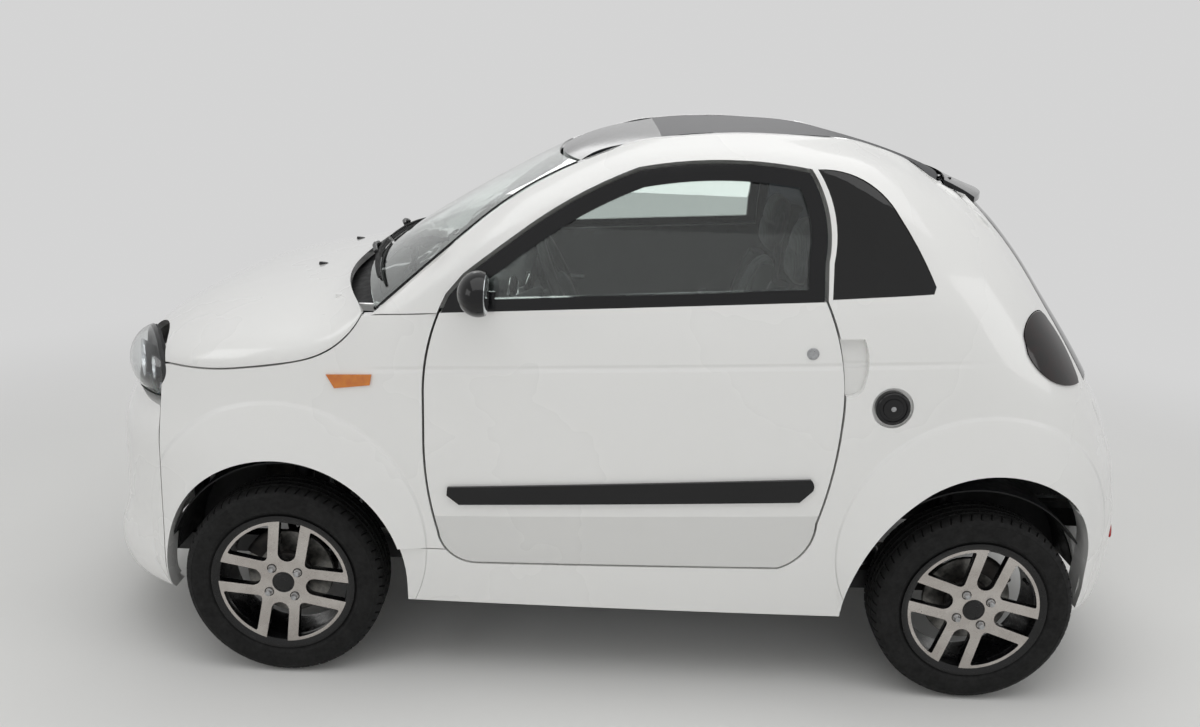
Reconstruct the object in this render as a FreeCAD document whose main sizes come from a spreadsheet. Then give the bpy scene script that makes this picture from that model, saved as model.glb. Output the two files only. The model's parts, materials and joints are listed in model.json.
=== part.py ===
import FreeCAD, Part
import Sketcher
import math
import os
from FreeCAD import Vector

# A two-seat microcar in millimetres. X runs from the nose to the tail, Z up from the ground,
# and the car's own left side is at negative Y. The origin is on the ground below its middle.

doc = FreeCAD.newDocument("Microcar")
sheet = doc.addObject("Spreadsheet::Sheet", "Dims")

# Driving dimensions: alias, value
DIMENSIONS = [
    ("wheelBase", 1875), ("frontAxleX", -877), ("axleHeight", 272), ("wheelPlaneY", 627.5),
    ("tyreRadius", 272), ("tyreWidth", 155), ("rimRadius", 178), ("rimLip", 18),
    ("spokeWidth", 25), ("spokePair", 84), ("spokeDepth", 22), ("hubRadius", 68),
    ("brakeRadius", 118), ("spindleRadius", 15), ("runClearance", 0.08),
    ("wallThick", 62), ("fenderThick", 40), ("doorThick", 52), ("glassThick", 5),
    ("bonnetThick", 22), ("roofThick", 30), ("roofGap", 2.4), ("edgeSlant", 0.9), ("panelGap", 3),
    ("doorGap", 6), ("lidGap", 5),
    ("seatGap", 0.3), ("fitGap", 0.8), ("bufferRadius", 6),
    ("rebateLip", 20), ("sideBow", 0.018), ("bowMiddleX", 40), ("bowReach", 900),
    ("noseReach", 600), ("tailReach", 520), ("railRound", 50), ("railBand", 75),
    ("bumperSeamX", -1208), ("bumperBottom", 200), ("bumperTop", 742), ("noseTop", 783),
    ("bodyBottom", 240), ("sillTop", 404), ("fenderBottom", 236),
    ("flareProud", 18), ("flareBand", 158), ("flareRoot", 22),
    ("frontArchX", -868), ("frontArchZ", 290), ("frontArchHalf", 333), ("frontArchRise", 352),
    ("rearArchX", 982), ("rearArchZ", 345), ("rearFlareRadius", 325),
    ("mouthHalfWidth", 380), ("mouthBottom", 425), ("mouthTop", 560), ("slatCount", 5), ("slatSize", 9),
    ("grilleEdge", 16),
    ("lampAcross", 172), ("lampTall", 98), ("lampDeep", 92), ("lampX", -1252), ("lampY", 462),
    ("lampZ", 826), ("lampTurn", 29),
    ("bonnetHingeX", -630), ("bonnetHingeZ", 1026),
    ("bonnetHingeY", 590), ("hingePin", 6),
    ("frameWidth", 40), ("beltRise", 30), ("mirrorX", -336), ("mirrorZ", 1117),
    ("mirrorAcross", 135), ("mirrorTall", 112), ("mirrorDeep", 104),
    ("stripProud", 9), ("fuelX", 710), ("fuelZ", 846), ("fuelRadius", 44), ("fuelRecess", 53),
    ("railHeight", 55), ("railWidth", 50), ("railY", 330), ("railBottom", 196), ("kickUp", 190),
    ("railFront", -1340), ("railRear", 1400),
    ("towY", 200), ("towRadius", 8), ("towAccess", 20),
    ("floorThick", 6), ("floorFront", -530), ("shelfTop", 960), ("shelfFront", -710), ("bulkheadX", 560),
    ("bootFloor", 486),
    ("kingpinY", 578), ("kingpinRadius", 9), ("armRise", 92), ("armDrop", 58), ("hatchBottom", 888),
    ("hatchHalf", 552),
    ("hatchTopHalf", 428), ("hatchTop", 1338), ("tailThick", 30), ("hatchHingeX", 884), ("hatchHingeZ", 1392),
    ("hatchHingeY", 300),
    ("engineLength", 420), ("engineWidth", 470), ("engineHeight", 380), ("pipeRadius", 18), ("pipeY", 90),
    ("seatWidth", 470), ("seatY", 300), ("seatBase", 450), ("cushionThick", 135),
    ("steerWheelX", -150), ("steerWheelZ", 1030), ("steerWheelRadius", 172), ("steerRimRadius", 14),
    ("steerWheelTilt", 65), ("linerRadius", 326), ("linerThick", 4), ("linerInnerY", 392),
    ("carrierX", -1240), ("carrierZ", 806),
]
for row, (alias, value) in enumerate(DIMENSIONS, 1):
    sheet.set("A%d" % row, alias)
    sheet.set("B%d" % row, str(value))
    sheet.setAlias("B%d" % row, alias)
doc.recompute()
D = {alias: float(sheet.get(alias)) for alias, value in DIMENSIONS}

# Plan outlines of the hull: height, nose x, tail x, half width
HULL = [
    (190, -1425, 1455, 694), (270, -1495, 1488, 713), (430, -1458, 1495, 736),
    (640, -1450, 1462, 745), (740, -1412, 1425, 744), (860, -1378, 1367, 741),
    (960, -1370, 1302, 737), (1100, -1360, 1200, 724), (1200, -1350, 1128, 700),
    (1300, -1340, 1040, 672), (1400, -1330, 925, 643), (1450, -1320, 850, 627),
    (1510, -1310, 735, 604),
]
# Upper edge of the side, from the screen pillar's foot over the rail to the tail: x, height
TOP_LINE = [
    (-602, 1049), (-447, 1187), (-291, 1317), (-109, 1420), (82, 1484), (338, 1504),
    (565, 1497), (733, 1456), (872, 1374), (1000, 1340),
]
# Bonnet stations: centre x, centre height, side x, side height
BONNET = [
    (-1392, 790, -1206, 836), (-1373, 848, -1196, 855), (-1325, 908, -1166, 861),
    (-1235, 964, -1110, 864), (-1115, 1014, -1030, 870), (-985, 1047, -945, 882),
    (-880, 1067, -850, 898), (-812, 1079, -765, 920), (-772, 1086, -692, 966),
    (-752, 1090, -641, 1034),
]
# Windscreen stations: centre x, centre height, side x, side height
SCREEN = [
    (-706, 1099, -604, 1049), (-540, 1212, -447, 1189), (-372, 1310, -291, 1319), (-182, 1412, -113, 1419),
]
# Roof stations: centre x, centre height, side x (its height is the top line's)
ROOF = [
    (-176, 1418, -108), (-40, 1466, 0), (100, 1489, 120), (250, 1501, 260), (420, 1504, 420),
    (585, 1494, 570), (730, 1466, 690), (845, 1430, 780), (915, 1402, 845),
]


def smooth_column(rows, column):
    # A curve through one column of a table against its first, without overshoot between rows.
    xs = [r[0] for r in rows]
    ys = [r[column] for r in rows]
    slopes = [(ys[i + 1] - ys[i]) / (xs[i + 1] - xs[i]) for i in range(len(xs) - 1)]
    tangents = [slopes[0]]
    for before, after in zip(slopes, slopes[1:]):
        tangents.append(0 if before * after <= 0 else 2 * before * after / (before + after))
    tangents.append(slopes[-1])

    def value(x):
        if x <= xs[0]:
            return ys[0] + tangents[0] * (x - xs[0])
        if x >= xs[-1]:
            return ys[-1] + tangents[-1] * (x - xs[-1])
        i = max(j for j in range(len(xs) - 1) if xs[j] <= x)
        span = xs[i + 1] - xs[i]
        t = (x - xs[i]) / span
        return ((2 * t ** 3 - 3 * t * t + 1) * ys[i] + (t ** 3 - 2 * t * t + t) * span * tangents[i]
                + (3 * t * t - 2 * t ** 3) * ys[i + 1] + (t ** 3 - t * t) * span * tangents[i + 1])
    return value


nose_x = smooth_column(HULL, 1)
tail_x = smooth_column(HULL, 2)
half_width = smooth_column(HULL, 3)
top_line = smooth_column(TOP_LINE, 1)
NOSE_POWER = 2.8
TAIL_POWER = 3.0


def ease(t):
    t = min(1.0, max(0.0, t))
    return t * t * (3 - 2 * t)


def rail_round(x, height):
    # The side rolls inwards over the last band below its upper edge.
    share = D["railRound"] * ease((x + 640) / 190.0) * (1 - ease((x - 780) / 150.0))
    below = (top_line(x) - height) / D["railBand"]
    return share * max(0.0, 1 - max(0.0, below)) ** 2


def settle(x, y, height):
    # Plan bow of the sides, and the rail's roll.
    y = y * (1 - D["sideBow"] * ((x - D["bowMiddleX"]) / D["bowReach"]) ** 2)
    return max(0.0, y - rail_round(x, height))


def side_y(x, height, inset=0):
    # Half width of the hull at a place along it, on the car's side.
    w = half_width(height) - inset
    front = nose_x(height) + inset + D["noseReach"]
    rear = tail_x(height) - inset - D["tailReach"]
    y = w
    if x < front:
        y = w * max(0.0, 1 - ((front - x) / D["noseReach"]) ** NOSE_POWER) ** (1 / NOSE_POWER)
    elif x > rear:
        y = w * max(0.0, 1 - min(1.0, (x - rear) / D["tailReach"]) ** TAIL_POWER) ** (1 / TAIL_POWER)
    return settle(x, y, height)


def turn_to(side, power):
    # The polar angle at which a superellipse reaches this share of its half width.
    side = min(1.0, side)
    return math.atan2(side, (1 - side ** power) ** (1 / power))


def end_point(end, fraction, height, inset, begin, finish=None):
    # A place on the left half of the plan outline. It begins on the side at x = begin, or where the
    # half width is begin(height), and runs to the centre line or to the half width finish(height).
    w = half_width(height) - inset
    if end == "nose":
        reach, power, way = D["noseReach"], NOSE_POWER, -1
        start = nose_x(height) + inset + reach
    else:
        reach, power, way = D["tailReach"], TAIL_POWER, 1
        start = tail_x(height) - inset - reach
    share = 0.0
    last = turn_to(finish(height) / w, power) if finish else 0.0
    if callable(begin):
        first = turn_to(begin(height) / w, power)
    else:
        straight = way * (start - begin)
        first = math.pi / 2
        if straight < 0:
            along = -straight / reach
            first = math.atan2((1 - along ** power) ** (1 / power), along)
        else:
            share = straight / (straight + 1.9 * reach)
        if fraction < share:
            return begin + way * straight * fraction / share, w
    angle = first + (last - first) * (fraction - share) / (1 - share)
    radius = (math.cos(angle) ** power + math.sin(angle) ** power) ** (-1 / power)
    return start + way * reach * radius * math.cos(angle), w * radius * math.sin(angle)


def skin(grid):
    surface = Part.BSplineSurface()
    surface.interpolate(grid)
    return surface


def between(outer, inner):
    # The solid between two grids of like size: both skins and the four ruled edges.
    a = skin(outer)
    b = skin(inner)
    u0, u1, v0, v1 = a.bounds()
    p0, p1, q0, q1 = b.bounds()
    pairs = [(a.uIso(u0), b.uIso(p0)), (a.uIso(u1), b.uIso(p1)), (a.vIso(v0), b.vIso(q0)),
             (a.vIso(v1), b.vIso(q1))]
    faces = [a.toShape(), b.toShape()]
    faces += [Part.makeRuledSurface(one.toShape(), two.toShape()) for one, two in pairs]
    shell = Part.makeShell(faces)
    shell.sewShape()
    solid = Part.makeSolid(shell)
    if solid.Volume < 0:
        solid.reverse()
    return solid


def steps(start, stop, count):
    return [start + (stop - start) * i / (count - 1.0) for i in range(count)]


def side_shell(x0, x1, low, high, outer, inner, columns=12, rows=12):
    # A stretch of the left side between two depths below the skin. high is a height or a function of x.
    grids = []
    for depth in (outer, inner):
        grid = []
        for v in steps(0, 1, rows):
            line = []
            for x in steps(x0, x1, columns):
                top = high(x) if callable(high) else high
                z = low + (top - low) * v
                line.append(Vector(x, -side_y(x, z, depth), z))
            grid.append(line)
        grids.append(grid)
    return between(*grids)


def end_shell(end, begin, low, high, outer, inner, columns=22, rows=12, whole=False, finish=None):
    # The hull round its nose or tail between two depths, to the centre line, a given half width or the other side.
    grids = []
    for depth in (outer, inner):
        grid = []
        for v in steps(0, 1, rows):
            line = []
            for f in steps(0, 1, columns):
                z = low + ((high(0) if callable(high) else high) - low) * v
                x, y = end_point(end, f, z, depth, begin, finish)
                if callable(high):
                    z = low + (high(x) - low) * v
                    x, y = end_point(end, f, z, depth, begin, finish)
                line.append(Vector(x, -settle(x, y, z), z))
            if whole:
                line = line + [Vector(p.x, -p.y, p.z) for p in reversed(line[:-1])]
            grid.append(line)
        grids.append(grid)
    return between(*grids)


def path(start, moves, place):
    # A closed wire of lines and arcs. A move is (end,) for a line or (middle, end) for an arc.
    edges = []
    here = start
    for move in moves:
        if len(move) == 1:
            edges.append(Part.LineSegment(place(here), place(move[0])).toShape())
        else:
            edges.append(Part.Arc(place(here), place(move[0]), place(move[1])).toShape())
        here = move[-1]
    if math.dist(here, start) > 0.01:
        edges.append(Part.LineSegment(place(here), place(start)).toShape())
    return Part.Wire(Part.__sortEdges__(edges))


def in_side_view(y):
    return lambda p: Vector(p[0], y, p[1])


def in_front_view(x):
    return lambda p: Vector(x, p[0], p[1])


def side_prism(start, moves, grow=0.0, y0=-900, y1=-1):
    # A side view outline, grown or shrunk, as a bar along Y on the left half of the car.
    wire = path(start, moves, in_side_view(y0))
    if grow:
        wire = wire.makeOffset2D(grow, 0, False, False, True)
    return Part.Face(wire).extrude(Vector(0, y1 - y0, 0))


def front_prism(start, moves, x0, x1):
    return Part.Face(path(start, moves, in_front_view(x0))).extrude(Vector(x1 - x0, 0, 0))


def flare(centre_x, centre_z, across, rise, band, low_angle, high_angle):
    # The proud band round a wheel opening. It meets the hull in a crease and stands out most at the edge.
    outer = []
    inner = []
    for r in (-0.35, 0.0, 0.33, 0.66, 1.0, 1.08):
        outer_row = []
        inner_row = []
        for angle in steps(low_angle, high_angle, 21):
            a = math.radians(angle)
            edge = 1 / math.hypot(math.cos(a) / across, math.sin(a) / rise)
            width = band * (0.25 + 0.75 * max(0.0, math.sin(a)))
            reach = edge + width * r
            x = centre_x + reach * math.cos(a)
            z = centre_z + reach * math.sin(a)
            proud = D["flareProud"] * (1 - r)
            outer_row.append(Vector(x, -side_y(x, z) - proud, z))
            inner_row.append(Vector(x, -side_y(x, z, D["flareRoot"]), z))
        outer.append(outer_row)
        inner.append(inner_row)
    return between(outer, inner)


def mirror(shape):
    return shape.mirror(Vector(0, 0, 0), Vector(0, 1, 0))


def box(x0, x1, y0, y1, z0, z1):
    return Part.makeBox(x1 - x0, y1 - y0, z1 - z0, Vector(x0, y0, z0))


def rod(radius, start, stop):
    start = Vector(*start)
    line = Vector(*stop) - start
    return Part.makeCylinder(radius, line.Length, start, line)


def fuse(shapes):
    return shapes[0].multiFuse(shapes[1:])


class Size:
    # A number that remembers its formula, so that a document object can be tied to the sheet
    def __init__(self, value, formula=None):
        self.value = float(value)
        self.formula = formula

    def text(self):
        return self.formula or "(%.9g)" % self.value

    def mixed(self, other, sign, value):
        other = other if isinstance(other, Size) else Size(other)
        if not (self.formula or other.formula):
            return Size(value)
        return Size(value, "(%s %s %s)" % (self.text(), sign, other.text()))

    def __add__(self, other):
        return self.mixed(other, "+", self.value + float(other))

    def __sub__(self, other):
        return self.mixed(other, "-", self.value - float(other))

    def __mul__(self, other):
        return self.mixed(other, "*", self.value * float(other))

    def __truediv__(self, other):
        return self.mixed(other, "/", self.value / float(other))

    def __radd__(self, other):
        return Size(other) + self

    def __rsub__(self, other):
        return Size(other) - self

    def __rmul__(self, other):
        return self * other

    def __neg__(self):
        return Size(0) - self

    def __float__(self):
        return self.value


S = {alias: Size(value, "Dims." + alias) for alias, value in DIMENSIONS}


def tie(target, name, size):
    # Sets a property of a document object, and binds it to the sheet where its size has a formula
    if hasattr(target, name):
        setattr(target, name, float(size))
    if isinstance(size, Size) and size.formula:
        target.setExpression(name, size.formula)


def settle_at(target, spot, rotation=FreeCAD.Rotation()):
    target.Placement = FreeCAD.Placement(Vector(*[float(v) for v in spot]), rotation)
    for axis, value in zip("xyz", spot):
        tie(target, "Placement.Base." + axis, value)
    return target


def facing(line):
    # The turn that points a primitive's own axis along a line, with its seam where a circle about the line starts
    ring = Part.Circle(Vector(), line, 1)
    return FreeCAD.Rotation(ring.XAxis, ring.YAxis, ring.Axis, "ZXY")


def block(x0, x1, y0, y1, z0, z1):
    # A box of the document between two opposite corners, in either order
    piece = doc.addObject("Part::Box", "Block")
    low = []
    for name, ends in (("Length", (x0, x1)), ("Width", (y0, y1)), ("Height", (z0, z1))):
        start, stop = sorted(ends, key=float)
        tie(piece, name, stop - start)
        low.append(start)
    return settle_at(piece, low)


def bar(radius, start, stop):
    # A round bar of the document from one point to another
    piece = doc.addObject("Part::Cylinder", "Bar")
    tie(piece, "Radius", radius)
    steps_apart = [b - a for a, b in zip(start, stop)]
    apart = [d for d in steps_apart if abs(float(d)) > 1e-9]
    if len(apart) == 1:
        tie(piece, "Height", apart[0] if float(apart[0]) > 0 else -1 * apart[0])
    else:
        squares = [d * d for d in apart]
        total = sum(squares[1:], squares[0])
        root = math.sqrt(float(total))
        formula = getattr(total, "formula", None)
        tie(piece, "Height", Size(root, "sqrt(%s)" % formula) if formula else root)
    return settle_at(piece, start, facing(Vector(*[float(d) for d in steps_apart])))


def join(pieces):
    whole = doc.addObject("Part::MultiFuse", "Joined")
    whole.Shapes = pieces
    return whole


def cut_away(base, tool):
    rest = doc.addObject("Part::Cut", "Cut")
    rest.Base = base
    rest.Tool = tool
    return rest


def reflected(source):
    twin = doc.addObject("Part::Mirroring", "Reflected")
    twin.Source = source
    twin.Normal = Vector(0, 1, 0)
    return twin


def gathered(pieces):
    group = doc.addObject("Part::Compound", "Gathered")
    group.Links = pieces
    return group


def turned_body(profile):
    # A body turned about its Y axis. The sketch holds (radius, distance along Y) as sizes from its origin.
    body = doc.addObject("PartDesign::Body", "Turned")
    plane = [o for o in body.Origin.OriginFeatures if o.Role == "XY_Plane"][0]
    sketch = body.newObject("Sketcher::SketchObject", "Section")
    sketch.AttachmentSupport = (plane, "")
    sketch.MapMode = "FlatFace"
    spots = [Vector(float(r), float(y), 0) for r, y in profile]
    for k, spot in enumerate(spots):
        sketch.addGeometry(Part.LineSegment(spot, spots[(k + 1) % len(spots)]), False)
    for k in range(len(spots)):
        sketch.addConstraint(Sketcher.Constraint("Coincident", k, 2, (k + 1) % len(spots), 1))
    for k, spot in enumerate(profile):
        for kind, size in zip(("DistanceX", "DistanceY"), spot):
            if abs(float(size)) < 1e-9:
                sketch.addConstraint(Sketcher.Constraint("PointOnObject", k, 1,
                                                         -1 if kind == "DistanceY" else -2))
                continue
            index = sketch.addConstraint(Sketcher.Constraint(kind, -1, 1, k, 1, float(size)))
            if isinstance(size, Size) and size.formula:
                sketch.setExpression("Constraints[%d]" % index, size.formula)
    turn = body.newObject("PartDesign::Revolution", "Turn")
    turn.Profile = sketch
    turn.ReferenceAxis = (sketch, ["V_Axis"])
    turn.Angle = 360
    body.Tip = turn
    return body


finished = []


def enter(name, piece):
    # One piece of the car that is already an object of the document
    piece.Label = name
    finished.append(piece)
    return piece


def publish(name, shape, place=FreeCAD.Placement()):
    # One piece of the car, as an object of the document with a label and a placement of its own.
    if shape.ShapeType == "Compound" and len(shape.Solids) == 1:
        shape = shape.Solids[0]
    piece = doc.addObject("Part::Feature", name)
    piece.Label = name
    piece.Shape = shape
    piece.Placement = place
    finished.append(piece)


# Side view outlines, as a start and its moves
DOOR_START = (-430, 1095)
DOOR_MOVES = [
    ((-473, 975), (-489, 845)), ((-488, 734),), ((-477, 575), (-452, 458)), ((-415, 390), (-346, 366)),
    ((453, 385),), ((522, 440), (546, 522)), ((580, 690), (589, 797)), ((578, 960), (526, 1112)),
    ((524, 1204),), ((512, 1350), (473, 1428)), ((260, 1443), (41, 1418)), ((-96, 1354), (-233, 1266)),
    ((-316, 1203), (-387, 1147)),
]
# Rubber buffers on the door's rebate: x, z
DOOR_BUFFERS = [(569, 690), (567, 960)]
WINDOW_START = (536, 1116)
WINDOW_MOVES = [
    ((536, 1204),), ((526, 1350), (487, 1428)), ((600, 1408), (699, 1320)), ((752, 1238), (795, 1155)),
    ((790, 1137),),
]
BELT_FRONT = (-640, 1034)
BELT_REAR = (640, 1118)
LAMP_START = (1042, 1030)
LAMP_MOVES = [((1083, 1078), (1140, 1054)), ((1196, 980), (1231, 905)), ((1232, 893),),
              ((1118, 922), (1054, 986))]
REAR_ARCH_START = (640, 180)
REAR_ARCH_MOVES = [((684, 452), (831, 624)), ((1005, 676), (1178, 624)), ((1276, 508), (1290, 400)),
                   ((1290, 180),)]
SCOOP_START = (540, 1018)
SCOOP_MOVES = [((624, 1021),), ((640, 950), (630, 890)), ((606, 872), (575, 878)), ((540, 900),)]


def belt(x):
    t = (x - BELT_FRONT[0]) / (BELT_REAR[0] - BELT_FRONT[0])
    return BELT_FRONT[1] + t * (BELT_REAR[1] - BELT_FRONT[1])


def front_arch(y0=-900, y1=-300):
    ellipse = Part.Ellipse(Vector(D["frontArchX"], y0, D["frontArchZ"] + D["frontArchRise"]),
                           Vector(D["frontArchX"] + D["frontArchHalf"], y0, D["frontArchZ"]),
                           Vector(D["frontArchX"], y0, D["frontArchZ"]))
    disc = Part.Face(Part.Wire(ellipse.toShape())).extrude(Vector(0, y1 - y0, 0))
    foot = box(D["frontArchX"] - D["frontArchHalf"], D["frontArchX"] + D["frontArchHalf"], y0, y1, 100,
               D["frontArchZ"])
    return disc.fuse(foot)


def rear_arch(y0=-900, y1=-300):
    return side_prism(REAR_ARCH_START, REAR_ARCH_MOVES, 0, y0, y1)


def above_belt(y0=-900, y1=-1, lift=0):
    ends = [(-700, belt(-700) + lift), (700, belt(700) + lift), (700, 1600), (-700, 1600)]
    return side_prism(ends[0], [(p,) for p in ends[1:]], 0, y0, y1)


def lamp_bulb(grow):
    # The headlamp's egg, turned to face forwards and outwards.
    ball = Part.makeSphere(1)
    matrix = FreeCAD.Matrix()
    matrix.scale(D["lampDeep"] + grow, D["lampAcross"] + grow, D["lampTall"] + grow)
    egg = ball.transformGeometry(matrix)
    egg.rotate(Vector(0, 0, 0), Vector(0, 0, 1), D["lampTurn"])
    egg.translate(Vector(D["lampX"], -D["lampY"], D["lampZ"]))
    return egg


# Body skins
shut_line = smooth_column([(r[2], r[3]) for r in BONNET], 1)
front_flare = flare(D["frontArchX"], D["frontArchZ"], D["frontArchHalf"], D["frontArchRise"], D["flareBand"],
                    -12, 192)
rear_flare = flare(D["rearArchX"], D["rearArchZ"], D["rearFlareRadius"], D["rearFlareRadius"] + 5,
                   D["flareBand"], -14, 194)


def seam_box(x0, x1, z0=100, z1=1600):
    return box(x0, x1, -900, -1, z0, z1)


def make_bumper():
    def top(x):
        return D["bumperTop"] + (D["noseTop"] - D["bumperTop"]) * ease((D["bumperSeamX"] - x) / 180.0)
    seam = D["bumperSeamX"]
    shell = end_shell("nose", seam, D["bumperBottom"], top, 0, D["fenderThick"], 16, 12, True)
    lip = front_flare.common(seam_box(-1600, seam))
    shell = fuse([shell, lip, mirror(lip)])
    mouth = front_prism((-D["mouthHalfWidth"], D["mouthBottom"]),
                        [((D["mouthHalfWidth"], D["mouthBottom"]),),
                         ((D["mouthHalfWidth"] + 20, (D["mouthBottom"] + D["mouthTop"]) / 2),
                          (D["mouthHalfWidth"], D["mouthTop"])),
                         ((-D["mouthHalfWidth"], D["mouthTop"]),),
                         ((-D["mouthHalfWidth"] - 20, (D["mouthBottom"] + D["mouthTop"]) / 2),
                          (-D["mouthHalfWidth"], D["mouthBottom"]))],
                        -1600, -1250)
    eye = D["railBottom"] + D["railHeight"] / 2
    access = rod(D["towAccess"], (-1600, D["towY"], eye + 4), (D["railFront"] - 2, D["towY"], eye + 4))
    holes = [mouth, access, lamp_bulb(D["panelGap"]), mirror(lamp_bulb(D["panelGap"])), front_arch(),
             mirror(front_arch())]
    for hole in holes:
        shell = shell.cut(hole)
    lugs = []
    for way in (-1, 1):
        y = way * D["railY"]
        x0 = nose_x(D["railBottom"] + 30) + D["fenderThick"] + 8
        lugs.append(box(x0, D["railFront"] - D["seatGap"], y - 20, y + 20, D["railBottom"] + 9,
                        D["railBottom"] + 49))
    return fuse([shell] + lugs)


def make_grille():
    bars = []
    low = D["mouthBottom"] + 4
    high = D["mouthTop"] - 4
    count = int(D["slatCount"])
    wall = D["fenderThick"] + D["fitGap"]
    reach = D["mouthHalfWidth"] - 1
    for z in steps(low + 6, high - 6, count):
        bar = end_shell("nose", -1330, z - D["slatSize"] / 2, z + D["slatSize"] / 2, 14, wall + 3, 12, 2,
                        True)
        bars.append(bar.common(box(-1600, -1250, -reach, reach, 0, 900)))
    back = end_shell("nose", -1330, low - D["grilleEdge"], high + D["grilleEdge"], wall, wall + 6, 12, 4,
                     True)
    reach = reach + D["grilleEdge"]
    return fuse(bars + [back.common(box(-1600, -1250, -reach, reach, 0, 900))])


def make_fender():
    edge = D["bumperSeamX"] + D["panelGap"]
    shell = side_shell(edge, -420, D["fenderBottom"], 1120, 0, D["fenderThick"], 14, 12)
    shell = fuse([shell, front_flare.common(seam_box(edge, -480))])
    shell = shell.cut(front_arch())
    shell = shell.cut(side_prism(DOOR_START, DOOR_MOVES))
    shell = shell.cut(seam_box(-570, -300, 100, D["sillTop"] + D["panelGap"]))
    points = [(x, shut_line(x) - D["lidGap"] / 2) for x in steps(edge - 30, -641, 14)]
    curve = Part.BSplineCurve()
    curve.interpolate([Vector(x, -900, z) for x, z in points])
    last = points[-1]
    corners = [(-641, belt(-641) - D["panelGap"]), (-300, belt(-300) - D["panelGap"]), (-300, 1300),
               (edge - 30, 1300), points[0]]
    edges = [curve.toShape()]
    here = last
    for corner in corners:
        if math.dist(here, corner) > 0.5:
            edges.append(Part.LineSegment(Vector(here[0], -900, here[1]),
                                          Vector(corner[0], -900, corner[1])).toShape())
            here = corner
    cap = Part.Face(Part.Wire(Part.__sortEdges__(edges))).extrude(Vector(0, 899, 0))
    shell = shell.cut(cap)
    shell = shell.cut(seam_box(-430, 0)).cut(lamp_bulb(D["panelGap"]))
    inner = side_y(-520, D["sillTop"], D["fenderThick"])
    foot = box(-546, -504, -inner - 24, -inner + 6, D["sillTop"] + D["seatGap"], D["sillTop"] + 30)
    return fuse([shell, foot])


def make_bonnet():
    grids = []
    gap = D["lidGap"] / 2
    for depth in (0, D["bonnetThick"]):
        grid = []
        for index, (xc, zc, xe, ze) in enumerate(BONNET):
            w = side_y(xe, ze, depth)
            half = []
            for k in range(11):
                phi = math.pi / 2 * (1 - k / 10.0)
                t = math.sin(phi) ** (2 / 2.5)
                rise = math.cos(phi) ** (2 / 2.5)
                x = xe + (xc - xe) * (1 - t ** 3.4)
                z = ze + gap + (zc - ze - (depth if index else 0)) * rise
                if index == 0:
                    x += depth
                half.append(Vector(x, -w * t, z))
            grid.append(half + [Vector(p.x, -p.y, p.z) for p in reversed(half[:-1])])
        grids.append(grid)
    shell = between(*grids)
    for hole in (lamp_bulb(D["lidGap"]), mirror(lamp_bulb(D["lidGap"]))):
        shell = shell.cut(hole)
    lug = bonnet_lug(D["bonnetHingeY"])
    return fuse([shell, lug, mirror(lug)])


def hatch_edge(gap):
    # Half width of the tailgate, narrowing from its lower corners to its top.
    def half(height):
        up = max(0.0, height - D["hatchBottom"] + 60) / (D["hatchTop"] - D["hatchBottom"] + 60)
        return D["hatchHalf"] + gap - (D["hatchHalf"] - D["hatchTopHalf"]) * up ** 1.4
    return half


def hatch_end(height):
    # Where the hull's side meets the edge of the tailgate's opening.
    start = tail_x(height) - D["tailReach"]
    share = hatch_edge(D["doorGap"])(height) / half_width(height)
    return start + D["tailReach"] * (1 - share ** TAIL_POWER) ** (1 / TAIL_POWER)


def side_wall(front, columns=40, rows=30):
    # The side of the hull from x = front to the tailgate, under the roof's edge, as thick as a door.
    # Its corner below the roof is where the edge of the opening and the roof's edge cross, found by halving.
    grids = []
    for depth in (0, D["wallThick"]):
        below = 1200.0
        above = D["hatchTop"] + 40
        for turn in range(24):
            corner = (below + above) / 2
            if corner < top_line(hatch_end(corner) - D["edgeSlant"] * depth):
                below = corner
            else:
                above = corner
        last = hatch_end(corner) - D["edgeSlant"] * depth
        grid = []
        for v in steps(0, 1, rows):
            rear = hatch_end(D["bodyBottom"] + (corner - D["bodyBottom"]) * v) - D["edgeSlant"] * depth
            line = []
            for f in steps(0, 1, columns):
                x = front + (rear - front) * f
                top = top_line(front + (last - front) * f)
                z = D["bodyBottom"] + (top - D["bodyBottom"]) * v
                line.append(Vector(x, depth - side_y(x, z), z))
            grid.append(line)
        grids.append(grid)
    return between(*grids)


def make_body_side():
    # The screen pillar, roof rail, rear quarter and sill in one, with rebates for the door and the tailgate.
    fuel_y = side_y(D["fuelX"], D["fuelZ"])
    door = side_shell(-520, 640, D["bodyBottom"] + 60, lambda x: max(belt(x), top_line(x)) + 40, -25,
                      D["doorThick"] + D["lidGap"], 16, 28)
    lamp = end_shell("tail", 800, 860, 1120, -25, 35, 16, 8)
    scoop = side_shell(400, 800, 840, 1060, -25, 24, 8, 8)
    front = [(-700, D["sillTop"]), (-380, D["sillTop"]), (-380, belt(-380)), (-700, belt(-700))]
    shell = side_wall(-660)
    for hole in (
            lamp.common(side_prism(LAMP_START, LAMP_MOVES, 1.5, -900, -250)),
            rod(D["fuelRecess"], (D["fuelX"], -fuel_y + 12, D["fuelZ"]),
                (D["fuelX"], -fuel_y - 40, D["fuelZ"])),
            scoop.common(side_prism(SCOOP_START, SCOOP_MOVES)),
            side_prism(front[0], [(p,) for p in front[1:]]),
            side_prism(WINDOW_START, WINDOW_MOVES),
            door.common(side_prism(DOOR_START, DOOR_MOVES)),
            side_prism(DOOR_START, DOOR_MOVES, -D["rebateLip"])):
        shell = shell.cut(hole)
    shell = shell.fuse(rear_flare).cut(rear_arch()).cut(front_arch())
    buffers = []
    for x, z in DOOR_BUFFERS:
        y = side_y(x, z, D["doorThick"])
        buffers.append(rod(D["bufferRadius"], (x, -y + D["lidGap"] + 2, z), (x, -y + D["fitGap"], z)))
    return fuse([shell] + buffers)


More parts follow.
